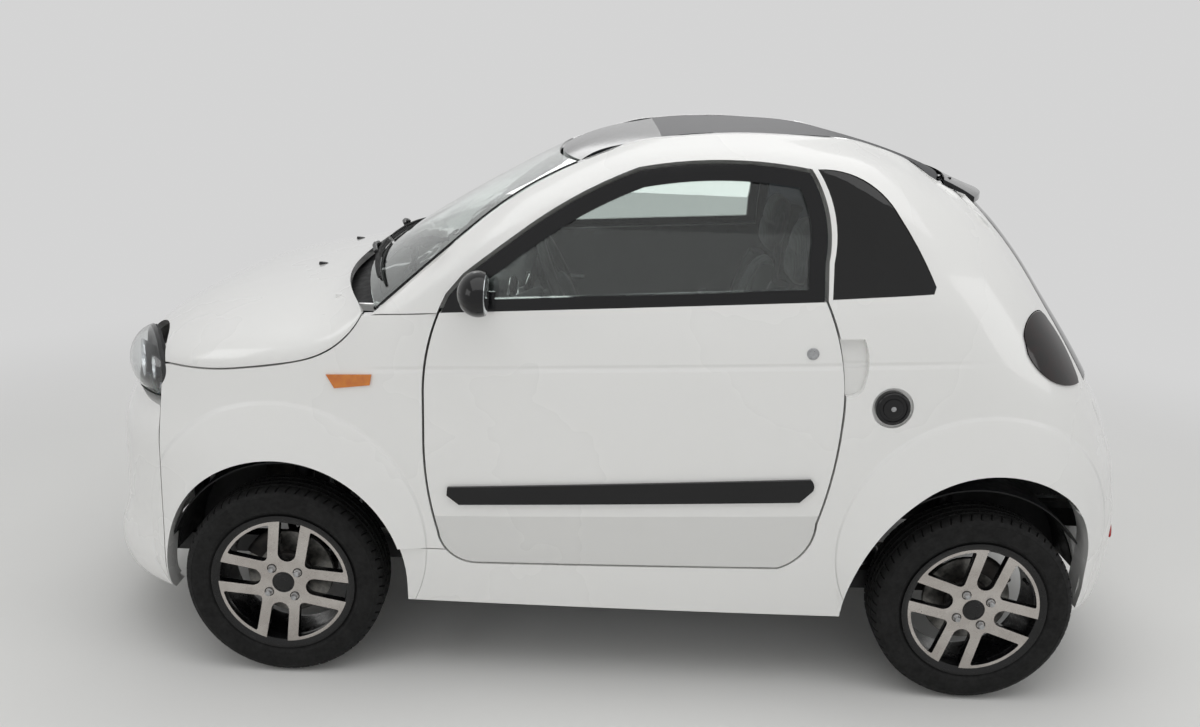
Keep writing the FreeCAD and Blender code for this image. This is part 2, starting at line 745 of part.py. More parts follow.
def make_tail_lamp():
    shell = end_shell("tail", 800, 860, 1120, -4, 35 - D["seatGap"], 16, 8)
    return shell.common(side_prism(LAMP_START, LAMP_MOVES, 0, -900, -545))


def make_rear_bumper():
    # The panel between the rear quarters, with a lip behind the foot of the tailgate's glass.
    edge = hatch_edge(D["panelGap"])
    glass = D["glassThick"] + D["lidGap"]
    top = D["hatchBottom"] - D["lidGap"]
    outer = end_shell("tail", edge, D["bodyBottom"], top, 0, D["tailThick"], 14, 12, True)
    lip = end_shell("tail", hatch_edge(-4), top - 30, top + 18, glass, D["tailThick"] - 4, 14, 3, True)
    low = D["railBottom"] + D["kickUp"]
    x1 = tail_x(low + 30) - D["tailThick"] - 8
    lugs = [box(D["railRear"] + D["seatGap"], x1, y - 20, y + 20, low + 9, low + 49) for y in (-D["railY"],
                                                                                               D["railY"])]
    return fuse([outer, lip] + lugs)


def make_hatch_glass():
    return end_shell("tail", hatch_edge(0), D["hatchBottom"], D["hatchTop"], 0, D["glassThick"], 16, 12, True)


def grid_across(stations, drop, depth, power=2.4, count=8):
    # Station lines across the car: centre x, centre height, side x, side height, half width.
    grid = []
    for xc, zc, xe, ze, w in stations:
        line = []
        for k in range(count):
            t = 1 - k / (count - 1.0)
            x = xe + (xc - xe) * (1 - t ** power)
            z = ze + (zc - ze) * (1 - t ** power)
            line.append(Vector(x + depth * drop[0], -w * t, z - depth * drop[1]))
        grid.append(line + [Vector(p.x, -p.y, p.z) for p in reversed(line[:-1])])
    return grid


def make_roof():
    gap = D["wallThick"] + D["roofGap"]
    rows = [(xc, zc, xe, top_line(xe), side_y(xe, top_line(xe)) - gap) for xc, zc, xe in ROOF]
    outer = grid_across(rows, (0, 1), 0, 2.2)
    inner = grid_across(rows, (0, 1), D["roofThick"], 2.2)
    pieces = [between(outer, inner)]
    x = D["hatchHingeX"]
    z = D["hatchHingeZ"]
    for way in (-1, 1):
        y = way * D["hatchHingeY"]
        pieces.append(box(x - 60, x, min(y, y - way * 14), max(y, y - way * 14), z - 6, z + 2))
        pieces.append(rod(6, (x, y - way * 14, z), (x, y, z)))
        pieces.append(rod(3, (x, y - way * 2, z), (x, y + way * 14, z)))
    return fuse(pieces)


def make_screen():
    rows = [(xc, zc, xe, ze, side_y(xe, ze) - 2) for xc, zc, xe, ze in SCREEN]
    lift = D["glassThick"] + D["seatGap"]
    outer = grid_across(rows, (0.65, 0.76), -lift)
    inner = grid_across(rows, (0.65, 0.76), -D["seatGap"])
    return between(outer, inner)


def make_cowl():
    # The black panel between the bonnet and the screen, with the bonnet's hinge pins at its ends.
    xc, zc, xe, ze = BONNET[-1]
    sc, hc, se, he = SCREEN[0]
    half = D["bonnetHingeY"] - 8
    deep = D["bonnetThick"] + D["seatGap"]
    rows = [(xc - 25, zc - deep - 12, xe - 60, ze - 18, half), (xc + 12, zc - deep, xe - 20, ze - 12, half),
            (sc + 8, hc - 12, se - 6, he - 16, half)]
    pieces = [between(grid_across(rows, (0, 1), 0), grid_across(rows, (0, 1), 18))]
    x = D["bonnetHingeX"]
    z = D["bonnetHingeZ"]
    for way in (-1, 1):
        pieces.append(rod(D["hingePin"], (x, way * (half - 20), z), (x, way * (half + 24), z)))
        stay = way * 300
        pieces.append(box(-702, -684, stay - 20, stay + 20, D["shelfTop"] + D["seatGap"], 1056))
    return fuse(pieces)


def bonnet_lug(y0):
    x = D["bonnetHingeX"]
    z = D["bonnetHingeZ"]
    arm = box(x - 105, x, y0, y0 + 14, z - 9, z + 9)
    riser = box(x - 105, x - 80, y0, y0 + 14, z - 9, z + 32)
    eye = rod(12, (x, y0, z), (x, y0 + 14, z))
    return fuse([arm, riser, eye]).cut(rod(D["hingePin"] + D["runClearance"], (x, y0 - 1, z),
                                           (x, y0 + 15, z)))


def make_spoiler():
    xc, zc, xe = ROOF[-1]
    seat = D["hatchTop"] + D["seatGap"]
    rows = [(xc + 5, zc, xe + 23, zc - 8), (xc + 60, zc - 24, xe + 67, zc - 28),
            (1044, seat + 14, 950, seat + 14)]
    outer = grid_across([r + (hatch_edge(-D["panelGap"])(r[3]),) for r in rows], (0, 1), 0)
    inner = grid_across([(r[0], r[1] - t, r[2], r[3] - t, hatch_edge(-D["panelGap"])(r[3])) for r,
                         t in zip(rows, (24, 19, 14))],
                        (0, 1), 0)
    pieces = [between(outer, inner)]
    x = D["hatchHingeX"]
    z = D["hatchHingeZ"]
    for way in (-1, 1):
        y = way * (D["hatchHingeY"] + 1)
        low = min(y, y + way * 13)
        lug = fuse([box(x, x + 30, low, low + 13, z - 5, z + 1), rod(6, (x, low, z), (x, low + 13, z))])
        pieces.append(lug.cut(rod(3 + D["runClearance"], (x, low - 1, z), (x, low + 14, z))))
    return fuse(pieces)


def door_skin(outer, inner):
    return side_shell(-520, 640, 330, lambda x: max(belt(x) + 60, top_line(x)), outer, inner, 16, 26)


def make_door():
    panel = door_skin(0, D["doorThick"]).common(side_prism(DOOR_START, DOOR_MOVES, -D["doorGap"]))
    return panel.cut(above_belt())


def window_hole(grow):
    # The glass of the door: the door's outline less its frame, above the belt.
    wide = side_prism(DOOR_START, DOOR_MOVES, -D["doorGap"] - 4 - D["frameWidth"] + grow)
    return wide.common(above_belt(lift=D["beltRise"] - grow))


def make_door_frame():
    skin_part = door_skin(1, 30)
    ring = skin_part.common(side_prism(DOOR_START, DOOR_MOVES, -D["doorGap"] - 4)).common(above_belt())
    ring = ring.cut(window_hole(0))
    x = D["mirrorX"]
    z = D["mirrorZ"]
    y = -side_y(x, z)
    foot = side_shell(x - 70, x + 30, belt(x) + 3, belt(x) + 52, -6, 6, 4, 4)
    arm = rod(14, (x - 20, y - 40, z - 20), (x - 30, y - 3, z - 32))
    head = Part.makeSphere(1).transformGeometry(FreeCAD.Matrix(
        D["mirrorDeep"] / 2, 0, 0, x, 0, D["mirrorAcross"] / 2, 0, y - 24 - D["mirrorAcross"] / 2,
        0, 0, D["mirrorTall"] / 2, z, 0, 0, 0, 1))
    head = head.cut(box(x + 18, x + 100, y - 300, y + 100, z - 200, z + 200))
    return Part.makeCompound(fuse([ring, foot, arm, head]).Solids + make_strip().Solids)


def make_strip():
    start = (-424, 566)
    moves = [((-422, 588),), ((517, 648),), ((526, 634), (524, 618)), ((492, 585),), ((-392, 541),)]
    return door_skin(-D["stripProud"], -D["seatGap"]).common(side_prism(start, moves))


def make_door_glass():
    return door_skin(10, 10 + D["glassThick"]).common(window_hole(-D["seatGap"]))


def make_quarter_window():
    shell = end_shell("tail", 400, 1060, 1470, 3, 3 + D["glassThick"], 20, 12)
    return shell.common(side_prism(WINDOW_START, WINDOW_MOVES, -D["seatGap"]))


def make_fuel_cap():
    y = side_y(D["fuelX"], D["fuelZ"])
    return bar(S["fuelRadius"], (S["fuelX"], -y + 12, S["fuelZ"]), (S["fuelX"], -y - 3, S["fuelZ"]))


def make_repeater():
    outline = [(-733, 877), (-616, 882), (-621, 854), (-712, 842)]
    lens = side_shell(-760, -590, 820, 900, -5, -D["seatGap"], 5, 4)
    return lens.common(side_prism(outline[0], [(p,) for p in outline[1:]]))


def make_front_lamp():
    bulb = lamp_bulb(0)
    back = box(-400, -20, -400, 400, -300, 300)
    back.rotate(Vector(0, 0, 0), Vector(0, 0, 1), D["lampTurn"])
    back.translate(Vector(D["lampX"], -D["lampY"], D["lampZ"]))
    boss = rod(10, (D["lampX"] - 40, -470, D["carrierZ"] + 20),
               (D["carrierX"] - D["seatGap"], -470, D["carrierZ"] + 20))
    return fuse([bulb.common(back), boss])


# Frame and floor
rear_axle_x = S["frontAxleX"] + S["wheelBase"]


def make_frame():
    low = S["railBottom"]
    high = low + S["railHeight"]
    kick = low + S["kickUp"]
    post = S["carrierX"]
    pieces = []
    for way in (-1, 1):
        y0 = way * S["railY"] - S["railWidth"] / 2
        y1 = y0 + S["railWidth"]
        pieces.append(block(S["railFront"], 700, y0, y1, low, high))
        pieces.append(block(650, 700, y0, y1, low, kick + S["railHeight"]))
        pieces.append(block(650, S["railRear"], y0, y1, kick, kick + S["railHeight"]))
        sill = side_y(-500, D["bodyBottom"] + 20, D["wallThick"]) - D["seatGap"] - 6
        pieces.append(block(-500, 600, way * sill, way * (sill - 50), low + 50, high + 70))
        pieces.append(block(S["frontAxleX"] - 45, S["frontAxleX"] + 45, y0, y1, high, 620))
        pieces.append(block(post, post + 30, y0, y1, high, S["carrierZ"] + 40))
        for x in (-440, -40, 360):
            low_wall = min(side_y(x, D["bodyBottom"] + 16), side_y(x + 40, D["bodyBottom"] + 16))
            reach = low_wall - D["wallThick"] - D["fitGap"]
            pieces.append(block(x, x + 40, way * reach, way * (sill - 1), S["bodyBottom"] + 16,
                                S["bodyBottom"] + 46))
    pieces.append(block(post, post + 30, -500, 500, S["carrierZ"], S["carrierZ"] + 40))
    rails = S["railY"] + S["railWidth"] / 2
    for x0, z0, half in ((S["railFront"], low, rails), (-520, low, 600), (120, low, 600), (650, low, rails),
                         (650, kick, rails), (S["railRear"] - 50, kick, rails),
                         (S["frontAxleX"] + 95, low, rails)):
        pieces.append(block(x0, x0 + 50, -1 * half, half, z0, z0 + S["railHeight"]))
    middle = low + S["railHeight"] / 2
    eye = bar(S["towRadius"], (S["railFront"] - 1, S["towY"], middle),
              (S["railFront"] + 51, S["towY"], middle))
    return cut_away(join(pieces), eye)


def make_floor():
    top = S["railBottom"] + S["railHeight"]
    thick = S["floorThick"]
    front = S["floorFront"]
    back = S["bulkheadX"]
    half = side_y(-500, D["bodyBottom"] + 20, D["wallThick"]) - D["seatGap"] - 6 - 52
    pieces = [block(front, back, -half, half, top, top + thick)]
    pieces.append(block(front, front + thick, -half, half, top, S["shelfTop"]))
    pieces.append(block(S["shelfFront"], front + thick, -half, half, S["shelfTop"] - thick, S["shelfTop"]))
    pieces.append(block(back - thick, back, -half, half, top, S["bootFloor"] + thick))
    tub_half = S["linerInnerY"] - S["seatGap"]
    pieces.append(block(back - thick, 1390, -tub_half, tub_half, S["bootFloor"], S["bootFloor"] + thick))
    base_half = S["seatWidth"] / 2 - 30
    for way in (-1, 1):
        y = way * S["seatY"]
        pieces.append(block(40, 460, y - base_half, y + base_half, top, S["seatBase"]))
    return join(pieces)


def make_liner(centre_x, half):
    # The arched inner skin over one wheel, with its wall on the inner side.
    radius = S["linerRadius"]
    z = S["axleHeight"]
    y1 = -S["linerInnerY"]
    drum = bar(radius + S["linerThick"], (centre_x, -650, z), (centre_x, y1, z))
    hollow = bar(radius, (centre_x, -651, z), (centre_x, y1 - S["linerThick"], z))
    return cut_away(cut_away(drum, hollow), block(centre_x - 500, centre_x + 500, -700, -300, -200, half))


def make_front_liner():
    x = S["frontAxleX"]
    z = S["axleHeight"]
    liner = make_liner(x, z + 40)
    liner = cut_away(liner, block(x - 130, x + 150, -500, -300, 0, 640))
    liner = cut_away(liner, block(x - 400, x - 308, -700, -590, 0, 420))
    foot = block(x + S["linerRadius"] - 6, S["floorFront"] - S["seatGap"], -560, -520, 318, 350)
    return join([liner, cut_away(foot, bar(S["linerRadius"], (x, -700, z), (x, -300, z)))])


def make_rear_liner():
    x = rear_axle_x
    liner = make_liner(x, S["axleHeight"] + 60)
    liner = cut_away(liner, block(x + 270, x + 400, -700, -530, 0, 480))
    return cut_away(liner, block(x - 500, x + 70, -500, -300, 0, 420))


def make_front_suspension():
    parts = []
    x = D["frontAxleX"]
    z = D["axleHeight"]
    y_in = D["railY"] + D["railWidth"] / 2
    for rise, pin in ((-D["armDrop"], 26), (D["armRise"], -26)):
        tip = (x, -D["kingpinY"], z + rise)
        parts.append(rod(11, (x - 90, -y_in, z + rise), (x, -D["kingpinY"], z + rise)))
        parts.append(rod(11, (x + 90, -y_in, z + rise), (x, -D["kingpinY"], z + rise)))
        parts.append(rod(17, (x, -D["kingpinY"], z + rise - 11), (x, -D["kingpinY"], z + rise + 11)))
        parts.append(rod(D["kingpinRadius"], tip, (x, -D["kingpinY"], z + rise + pin)))
        parts.append(rod(14, (x - 105, -y_in - 14, z + rise), (x + 105, -y_in - 14, z + rise)))
    parts.append(rod(28, (x, -470, z + D["armRise"] + 60), (x, -445, 560)))
    parts.append(rod(12, (x, -480, z - D["armDrop"]), (x, -455, 540)))
    parts.append(rod(11, (x - 60, -480, z - D["armDrop"]), (x + 60, -480, z - D["armDrop"])))
    parts.append(rod(40, (x, -445, 556), (x, -444, 572)))
    parts.append(box(x - 45, x + 45, -450, -y_in, 572, 580))
    return fuse(parts).cut(box(x - 200, x + 200, -y_in, -200, 0, 700))


def make_knuckle():
    x = S["frontAxleX"]
    z = S["axleHeight"]
    y = -S["kingpinY"]
    upright = block(x - 24, x + 24, y - 16, y + 16, z - S["armDrop"] + 12, z + S["armRise"] - 12)
    boss = bar(34, (x, y + 16, z), (x, y - 16, z))
    spindle = bar(S["spindleRadius"], (x, y, z), (x, -S["wheelPlaneY"] - 34, z))
    steer = block(x + 20, x + 118, y - 2, y + 14, z - 12, z + 12)
    body = join([upright, boss, spindle, steer])
    for end, deep in ((-S["armDrop"], 30), (S["armRise"], -30)):
        body = cut_away(body, bar(S["kingpinRadius"] + S["runClearance"], (x, y, z + end),
                                  (x, y, z + end + deep)))
    return body


def make_rear_axle():
    x = rear_axle_x
    z = S["axleHeight"]
    pieces = [bar(30, (x - 210, -520, z), (x - 210, 520, z))]
    for way in (-1, 1):
        pieces.append(block(x - 330, x + 26, way * 498, way * 532, z - 28, z + 28))
        pieces.append(bar(S["spindleRadius"], (x, way * 530, z), (x, way * (S["wheelPlaneY"] + 34), z)))
        pieces.append(bar(38, (x, way * 500, z), (x, way * 548, z)))
        pieces.append(bar(20, (x - 330, way * (S["railY"] + S["railWidth"] / 2), z), (x - 330, way * 532, z)))
        pieces.append(bar(25, (x - 60, way * 502, z + 8), (x - 40, way * 455, 560)))
        pieces.append(block(x - 70, x - 20, way * 355, way * 470, 400, 412))
    return join(pieces)


# Wheels, turned about their own axle and then set at each corner
def make_tyre():
    # Section of the tyre: radius, distance from the wheel's middle plane, negative on the outside.
    wide = S["tyreWidth"] / 2
    top = S["tyreRadius"]
    rim = S["rimRadius"]
    gap = S["fitGap"]
    lip = rim + S["rimLip"] + gap
    half = [(rim + gap, wide - 12 - gap), (lip, wide - 9 - gap), (lip + 6, wide - 4), (rim + 42, wide),
            (top - 30, wide - 3), (top - 8, wide - 12), (top, wide - 28)]
    return turned_body([(r, -y) for r, y in half] + list(reversed(half)))


def make_rim(turn):
    wide = S["tyreWidth"] / 2
    rim = S["rimRadius"]
    lip = rim + S["rimLip"]
    face = 10 - wide
    deep = S["spokeDepth"]
    bore = S["spindleRadius"] + S["runClearance"]
    hub = S["hubRadius"]
    edge = rim - 1
    pieces = [turned_body(profile) for profile in (
        [(lip, 4 - wide), (lip, 9 - wide), (rim, 12 - wide), (rim, wide - 12), (lip, wide - 9),
         (lip, wide - 4), (rim - 6, wide - 5),
         (rim - 8, 16 - wide), (rim - 6, 5 - wide)],
        [(bore, face), (hub, face), (hub, face + deep + 4), (46, face + deep + 20), (46, 22), (bore, 22)],
        [(40, 4), (S["brakeRadius"], 4), (S["brakeRadius"], 14), (40, 14)],
        [(rim - 8, face), (edge, face), (edge, face + deep), (rim - 8, face + deep)])]
    for pair in range(4):
        spokes = []
        for way in (-1, 1):
            middle = way * (S["spokePair"] - S["spokeWidth"]) / 2
            spokes.append(block(50, rim - 3, face, face + deep, middle - S["spokeWidth"] / 2,
                                middle + S["spokeWidth"] / 2))
        kept = doc.addObject("Part::MultiCommon", "Spokes")
        kept.Shapes = [gathered(spokes), bar(edge, (0, -200, 0), (0, 200, 0))]
        kept.Placement = FreeCAD.Placement(Vector(), FreeCAD.Rotation(Vector(0, 1, 0), 90 * pair + turn))
        pieces.append(kept)
    return cut_away(join(pieces), bar(bore, (0, -200, 0), (0, 200, 0)))


def at_corner(name, source, x, side):
    # A wheel's piece set at one corner of the car, with its outer face outwards.
    piece = gathered([source])
    way = -1 if side == "left" else 1
    rotation = FreeCAD.Rotation(Vector(0, 0, 1), 0 if side == "left" else 180)
    enter(name, settle_at(piece, (x, way * S["wheelPlaneY"], S["axleHeight"]), rotation))


def make_seat():
    # Side profile of one seat: a cushion, a leaning back and its head part.
    low = D["seatBase"] + D["seatGap"]
    top = low + D["cushionThick"]
    start = (20, low + 10)
    moves = [((20, top),), ((40, top + 22), (90, top + 14)), ((370, top - 10),), ((462, 1040),),
             ((472, 1075), (484, 1100)),
             ((500, 1250),), ((535, 1278), (572, 1245)), ((560, 1080),), ((510, low + 40),),
             ((484, low + 12), (440, low)), ((40, low),)]
    profile = Part.Face(path(start, moves, in_side_view(-D["seatY"] - D["seatWidth"] / 2)))
    seat = profile.extrude(Vector(0, D["seatWidth"], 0))
    neck = 1075
    for way in (-1, 1):
        y = -D["seatY"] + way * 130
        edge = way * D["seatWidth"] / 2 - D["seatY"]
        seat = seat.cut(box(400, 700, min(y, edge + way), max(y, edge + way), neck, 1320))
    return seat


def make_dashboard():
    start = (-523.7, 905)
    moves = [((-523.7, 1020),), ((-480, 1050), (-420, 1048)), ((-330, 1030), (-290, 980)), ((-285, 880),),
             ((-340, 780),),
             ((-523.7, 720),)]
    profile = Part.Face(path(start, moves, in_side_view(-600)))
    return fuse([profile.extrude(Vector(0, 1200, 0)), make_column()])


def steering_axis():
    tilt = math.radians(D["steerWheelTilt"])
    return Vector(math.sin(tilt), 0, math.cos(tilt))


def make_column():
    axis = steering_axis()
    hub = Vector(D["steerWheelX"], -D["seatY"], D["steerWheelZ"])
    tube = Part.makeCylinder(24, 260, hub - axis * 300, axis)
    pin = Part.makeCylinder(10, 46, hub - axis * 50, axis)
    return tube.fuse(pin)


def make_steering_wheel():
    axis = steering_axis()
    hub = Vector(D["steerWheelX"], -D["seatY"], D["steerWheelZ"])
    ring = Part.makeTorus(D["steerWheelRadius"], D["steerRimRadius"], hub, axis)
    boss = Part.makeCylinder(48, 40, hub - axis * 34, axis)
    across = Vector(0, 1, 0)
    up = axis.cross(across) * -1
    arms = []
    for a, b in ((1, 0), (-1, 0), (0, -1)):
        tip = hub + across * (a * D["steerWheelRadius"]) + up * (b * D["steerWheelRadius"])
        arms.append(rod(11, tuple(hub - axis * 14), tuple(tip)))
    bore = Part.makeCylinder(10 + D["runClearance"], 34, hub - axis * 36, axis)
    return fuse([ring, boss] + arms).cut(bore)


def make_engine():
    x = -1010
    low = S["railBottom"] + S["railHeight"]
    length = S["engineLength"] / 2
    width = S["engineWidth"] / 2
    pieces = [block(x - length, x + length, -width, width, low + 30, low + 30 + S["engineHeight"])]
    pieces += [block(x - 160, x - 100, way * 225, way * 350, low, low + 70) for way in (-1, 1)]
    return join(pieces)


def make_exhaust():
    # A pipe from below the engine to the muffler, under the frame's cross members.
    low = S["railBottom"] - S["pipeRadius"] - 6
    y = -S["pipeY"]
    route = [(-860, y, S["railBottom"] + S["railHeight"] + 30 - S["seatGap"]), (-860, y, low), (1120, y, low),
             (1215, y, 290)]
    pieces = [bar(S["pipeRadius"], a, b) for a, b in zip(route, route[1:])]
    for spot in route[1:-1]:
        bend = doc.addObject("Part::Sphere", "Bend")
        tie(bend, "Radius", S["pipeRadius"])
        pieces.append(settle_at(bend, spot))
    pieces.append(bar(75, (1240, -200, 300), (1240, 200, 300)))
    pieces.append(bar(20, (1240, 150, 262), (1415, 150, 262)))
    pieces += [block(1230, 1250, way * 150 - 6, way * 150 + 6, 300,
                     S["bootFloor"] - S["seatGap"]) for way in (-1, 1)]
    pieces.append(block(135, 155, y - 6, y + 6, low, S["railBottom"] - S["seatGap"]))
    return join(pieces)


def both(shape):
    return Part.makeCompound(shape.Solids + mirror(shape).Solids)


for name, maker in (("front_bumper", make_bumper), ("grille", make_grille), ("rear_bumper", make_rear_bumper),
                    ("bonnet", make_bonnet), ("roof_panel", make_roof), ("windscreen", make_screen),
                    ("cowl_panel", make_cowl), ("tailgate_glass", make_hatch_glass),
                    ("tailgate_spoiler", make_spoiler),
                    ("dashboard", make_dashboard), ("steering_wheel", make_steering_wheel)):
    publish(name, maker())
for name, maker in (("fender", make_fender), ("body_side", make_body_side), ("door_panel", make_door),
                    ("door_frame", make_door_frame), ("door_window", make_door_glass)):
    shape = maker()
    publish(name + "_left", shape)
    publish(name + "_right", mirror(shape))
for name, maker in (("quarter_windows", make_quarter_window), ("tail_lamps", make_tail_lamp),
                    ("headlamps", make_front_lamp), ("side_repeaters", make_repeater), ("seats", make_seat),
                    ("front_suspension", make_front_suspension)):
    publish(name, both(maker()))
for name, maker in (("chassis_frame", make_frame), ("floor_pan", make_floor), ("rear_axle", make_rear_axle),
                    ("engine_block", make_engine), ("exhaust", make_exhaust), ("fuel_cap", make_fuel_cap)):
    enter(name, maker())
knuckle = enter("knuckle_left", make_knuckle())
enter("knuckle_right", reflected(knuckle))
liners = [make_front_liner(), make_rear_liner()]
enter("wheel_arch_liners", gathered(liners + [reflected(liner) for liner in liners]))

tyre = make_tyre()
for end, x, turn in (("front", S["frontAxleX"], 8), ("rear", rear_axle_x, 16)):
    rim = make_rim(turn)
    for side in ("left", "right"):
        at_corner("tyre_%s_%s" % (end, side), tyre, x, side)
        at_corner("rim_%s_%s" % (end, side), rim, x, side)

doc.recompute()
for piece in doc.Objects:
    if "Invalid" in piece.State or "Error" in piece.State:
        raise RuntimeError("failed: " + piece.Label)
for piece in finished:
    if piece.Shape.isNull() or not piece.Shape.isValid():
        raise RuntimeError("not valid: " + piece.Label)
os.makedirs("parts", exist_ok=True)
for piece in finished:
    shape = piece.Shape.Solids[0] if len(piece.Shape.Solids) == 1 else piece.Shape
    shape.exportStep("parts/%s.step" % piece.Label)
    size = piece.Shape.BoundBox
    print("%-22s solids %d faces %d volume %.1f litres  x %.0f..%.0f y %.0f..%.0f z %.0f..%.0f" % (
        piece.Label, len(piece.Shape.Solids), len(piece.Shape.Faces), piece.Shape.Volume / 1e6,
        size.XMin, size.XMax, size.YMin, size.YMax, size.ZMin, size.ZMax))
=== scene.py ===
import bmesh
import bpy
import json
import math
import numpy as np
from mathutils import Matrix, Vector


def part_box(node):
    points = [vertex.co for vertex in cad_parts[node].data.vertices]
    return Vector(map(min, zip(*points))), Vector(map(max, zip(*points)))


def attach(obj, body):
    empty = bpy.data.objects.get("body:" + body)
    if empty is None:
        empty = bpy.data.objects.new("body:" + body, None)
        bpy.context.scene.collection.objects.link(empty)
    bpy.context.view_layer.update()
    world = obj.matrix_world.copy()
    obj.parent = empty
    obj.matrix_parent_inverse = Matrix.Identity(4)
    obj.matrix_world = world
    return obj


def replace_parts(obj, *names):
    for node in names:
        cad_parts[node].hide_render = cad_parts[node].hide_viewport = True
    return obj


# Dress of the two-seat microcar: finishes for the frame's nodes, and the tread, lamps, wipers,
# trim and upholstery that ride on them. Metres, nose towards -X, the car's own left towards -Y.
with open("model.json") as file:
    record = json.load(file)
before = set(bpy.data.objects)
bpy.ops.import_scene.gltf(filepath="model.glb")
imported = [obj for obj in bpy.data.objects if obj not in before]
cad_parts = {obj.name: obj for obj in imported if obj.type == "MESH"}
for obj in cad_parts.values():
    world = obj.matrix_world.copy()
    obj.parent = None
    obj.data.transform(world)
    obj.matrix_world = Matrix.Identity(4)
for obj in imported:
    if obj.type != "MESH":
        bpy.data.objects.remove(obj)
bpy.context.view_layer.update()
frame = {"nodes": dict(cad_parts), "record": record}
nodes = frame["nodes"]
sides = ((-1, "left"), (1, "right"))
print("stage: frame loaded with", len(nodes), "nodes")

# The viewing place found from the wheels' ovals and the body's known lengths
cameraView = {"place": (-0.017, -3.409, 1.669), "yaw": 0.00769, "pitch": 0.26814, "roll": 0.03691,
              "lens": 33.0}


def setCamera(view):
    # Looks along the direction given by yaw and pitch, then rolls about it
    yaw, pitch, roll = view["yaw"], view["pitch"], view["roll"]
    ahead = Vector((-math.sin(yaw) * math.cos(pitch), math.cos(yaw) * math.cos(pitch), -math.sin(pitch)))
    right = Vector((math.cos(yaw), math.sin(yaw), 0))
    upward = right.cross(ahead)
    across = math.cos(roll) * right + math.sin(roll) * upward
    lift = math.cos(roll) * upward - math.sin(roll) * right
    data = bpy.data.cameras.new("camera")
    data.lens = view["lens"]
    data.sensor_width = 36
    data.clip_end = 60
    camera = bpy.data.objects.new("camera", data)
    turn = Matrix((across, lift, -ahead)).transposed().to_4x4()
    camera.matrix_world = Matrix.Translation(view["place"]) @ turn
    bpy.context.scene.collection.objects.link(camera)
    bpy.context.scene.camera = camera


setCamera(cameraView)


def linearColour(code):
    # sRGB hex text to linear numbers, opaque
    share = np.array([int(code[i:i + 2], 16) for i in (1, 3, 5)]) / 255
    linear = np.where(share <= 0.04045, share / 12.92, ((share + 0.055) / 1.055) ** 2.4)
    return (*[float(v) for v in linear], 1.0)


def addNode(tree, kind, settings=None, links=None):
    # One shader node with its settings, and its inputs fed from other nodes' outputs
    node = tree.nodes.new("ShaderNode" + kind)
    for key, value in (settings or {}).items():
        if isinstance(key, str) and hasattr(node, key):
            setattr(node, key, value)
        else:
            node.inputs[key].default_value = value
    for key, source in (links or {}).items():
        tree.links.new(source, node.inputs[key])
    return node


def makeFinish(name, look, tints=None, tintSize=0.3, rough=None, roughSize=0.05, grain=()):
    # A principled material. Tints vary its colour, rough its roughness, and grain adds reliefs,
    # each given as kind of pattern, size and height in metres.
    material = bpy.data.materials.new(name)
    material.use_nodes = True
    tree = material.node_tree
    shader = tree.nodes["Principled BSDF"]
    for key, value in look.items():
        shader.inputs[key].default_value = linearColour(value) if isinstance(value, str) else value
    place = addNode(tree, "TexCoord").outputs["Object"]
    if tints:
        cloud = addNode(tree, "TexNoise", {"Scale": 1 / tintSize, "Detail": 3}, {"Vector": place})
        ramp = addNode(tree, "ValToRGB", {}, {"Fac": cloud.outputs["Fac"]})
        for stop, spot, tint in zip(ramp.color_ramp.elements, (0.35, 0.65), tints):
            stop.position, stop.color = spot, linearColour(tint)
        tree.links.new(ramp.outputs["Color"], shader.inputs["Base Color"])
    if rough:
        cloud = addNode(tree, "TexNoise", {"Scale": 1 / roughSize, "Detail": 4}, {"Vector": place})
        spread = addNode(tree, "MapRange",
                         {"From Min": 0.3, "From Max": 0.7, "To Min": rough[0], "To Max": rough[1]},
                         {"Value": cloud.outputs["Fac"]})
        tree.links.new(spread.outputs["Result"], shader.inputs["Roughness"])
    relief = None
    for kind, size, height in grain:
        settings = {"Scale": 1 / size}
        if kind == "Noise":
            settings["Detail"] = 2
        pattern = addNode(tree, "Tex" + kind, settings, {"Vector": place})
        links = {"Height": pattern.outputs[0]}
        if relief:
            links["Normal"] = relief.outputs["Normal"]
        relief = addNode(tree, "Bump", {"Strength": 0.8, "Distance": height}, links)
    if relief:
        tree.links.new(relief.outputs["Normal"], shader.inputs["Normal"])
    return material


def nodesOf(material):
    # A finish's tree, its shader and its object coordinates
    tree = material.node_tree
    return tree, tree.nodes["Principled BSDF"], tree.nodes["Texture Coordinate"].outputs["Object"]


def calc(tree, operation, *values, kind="Math"):
    # A maths node: numbers go on its own sockets, other nodes' outputs are linked to them
    node = addNode(tree, kind, {"operation": operation})
    for socket, value in zip(node.inputs, values):
        if isinstance(value, bpy.types.NodeSocket):
            tree.links.new(value, socket)
        else:
            socket.default_value = value
    single = kind == "Math" or operation in ("LENGTH", "DOT_PRODUCT")
    return node.outputs["Value" if single else "Vector"]


def ease(tree, value, first, last, low=0.0, high=1.0):
    # A soft step from low to high while the value goes from first to last
    settings = {"interpolation_type": "SMOOTHSTEP", "From Min": first, "From Max": last, "To Min": low,
                "To Max": high}
    return addNode(tree, "MapRange", settings, {"Value": value}).outputs["Result"]


def seenRays(tree):
    # 1 for rays from the camera, off a gloss or through glass
    path = addNode(tree, "LightPath").outputs
    return calc(tree, "MAXIMUM", calc(tree, "MAXIMUM", path["Is Camera Ray"], path["Is Glossy Ray"]),
                path["Is Transmission Ray"])


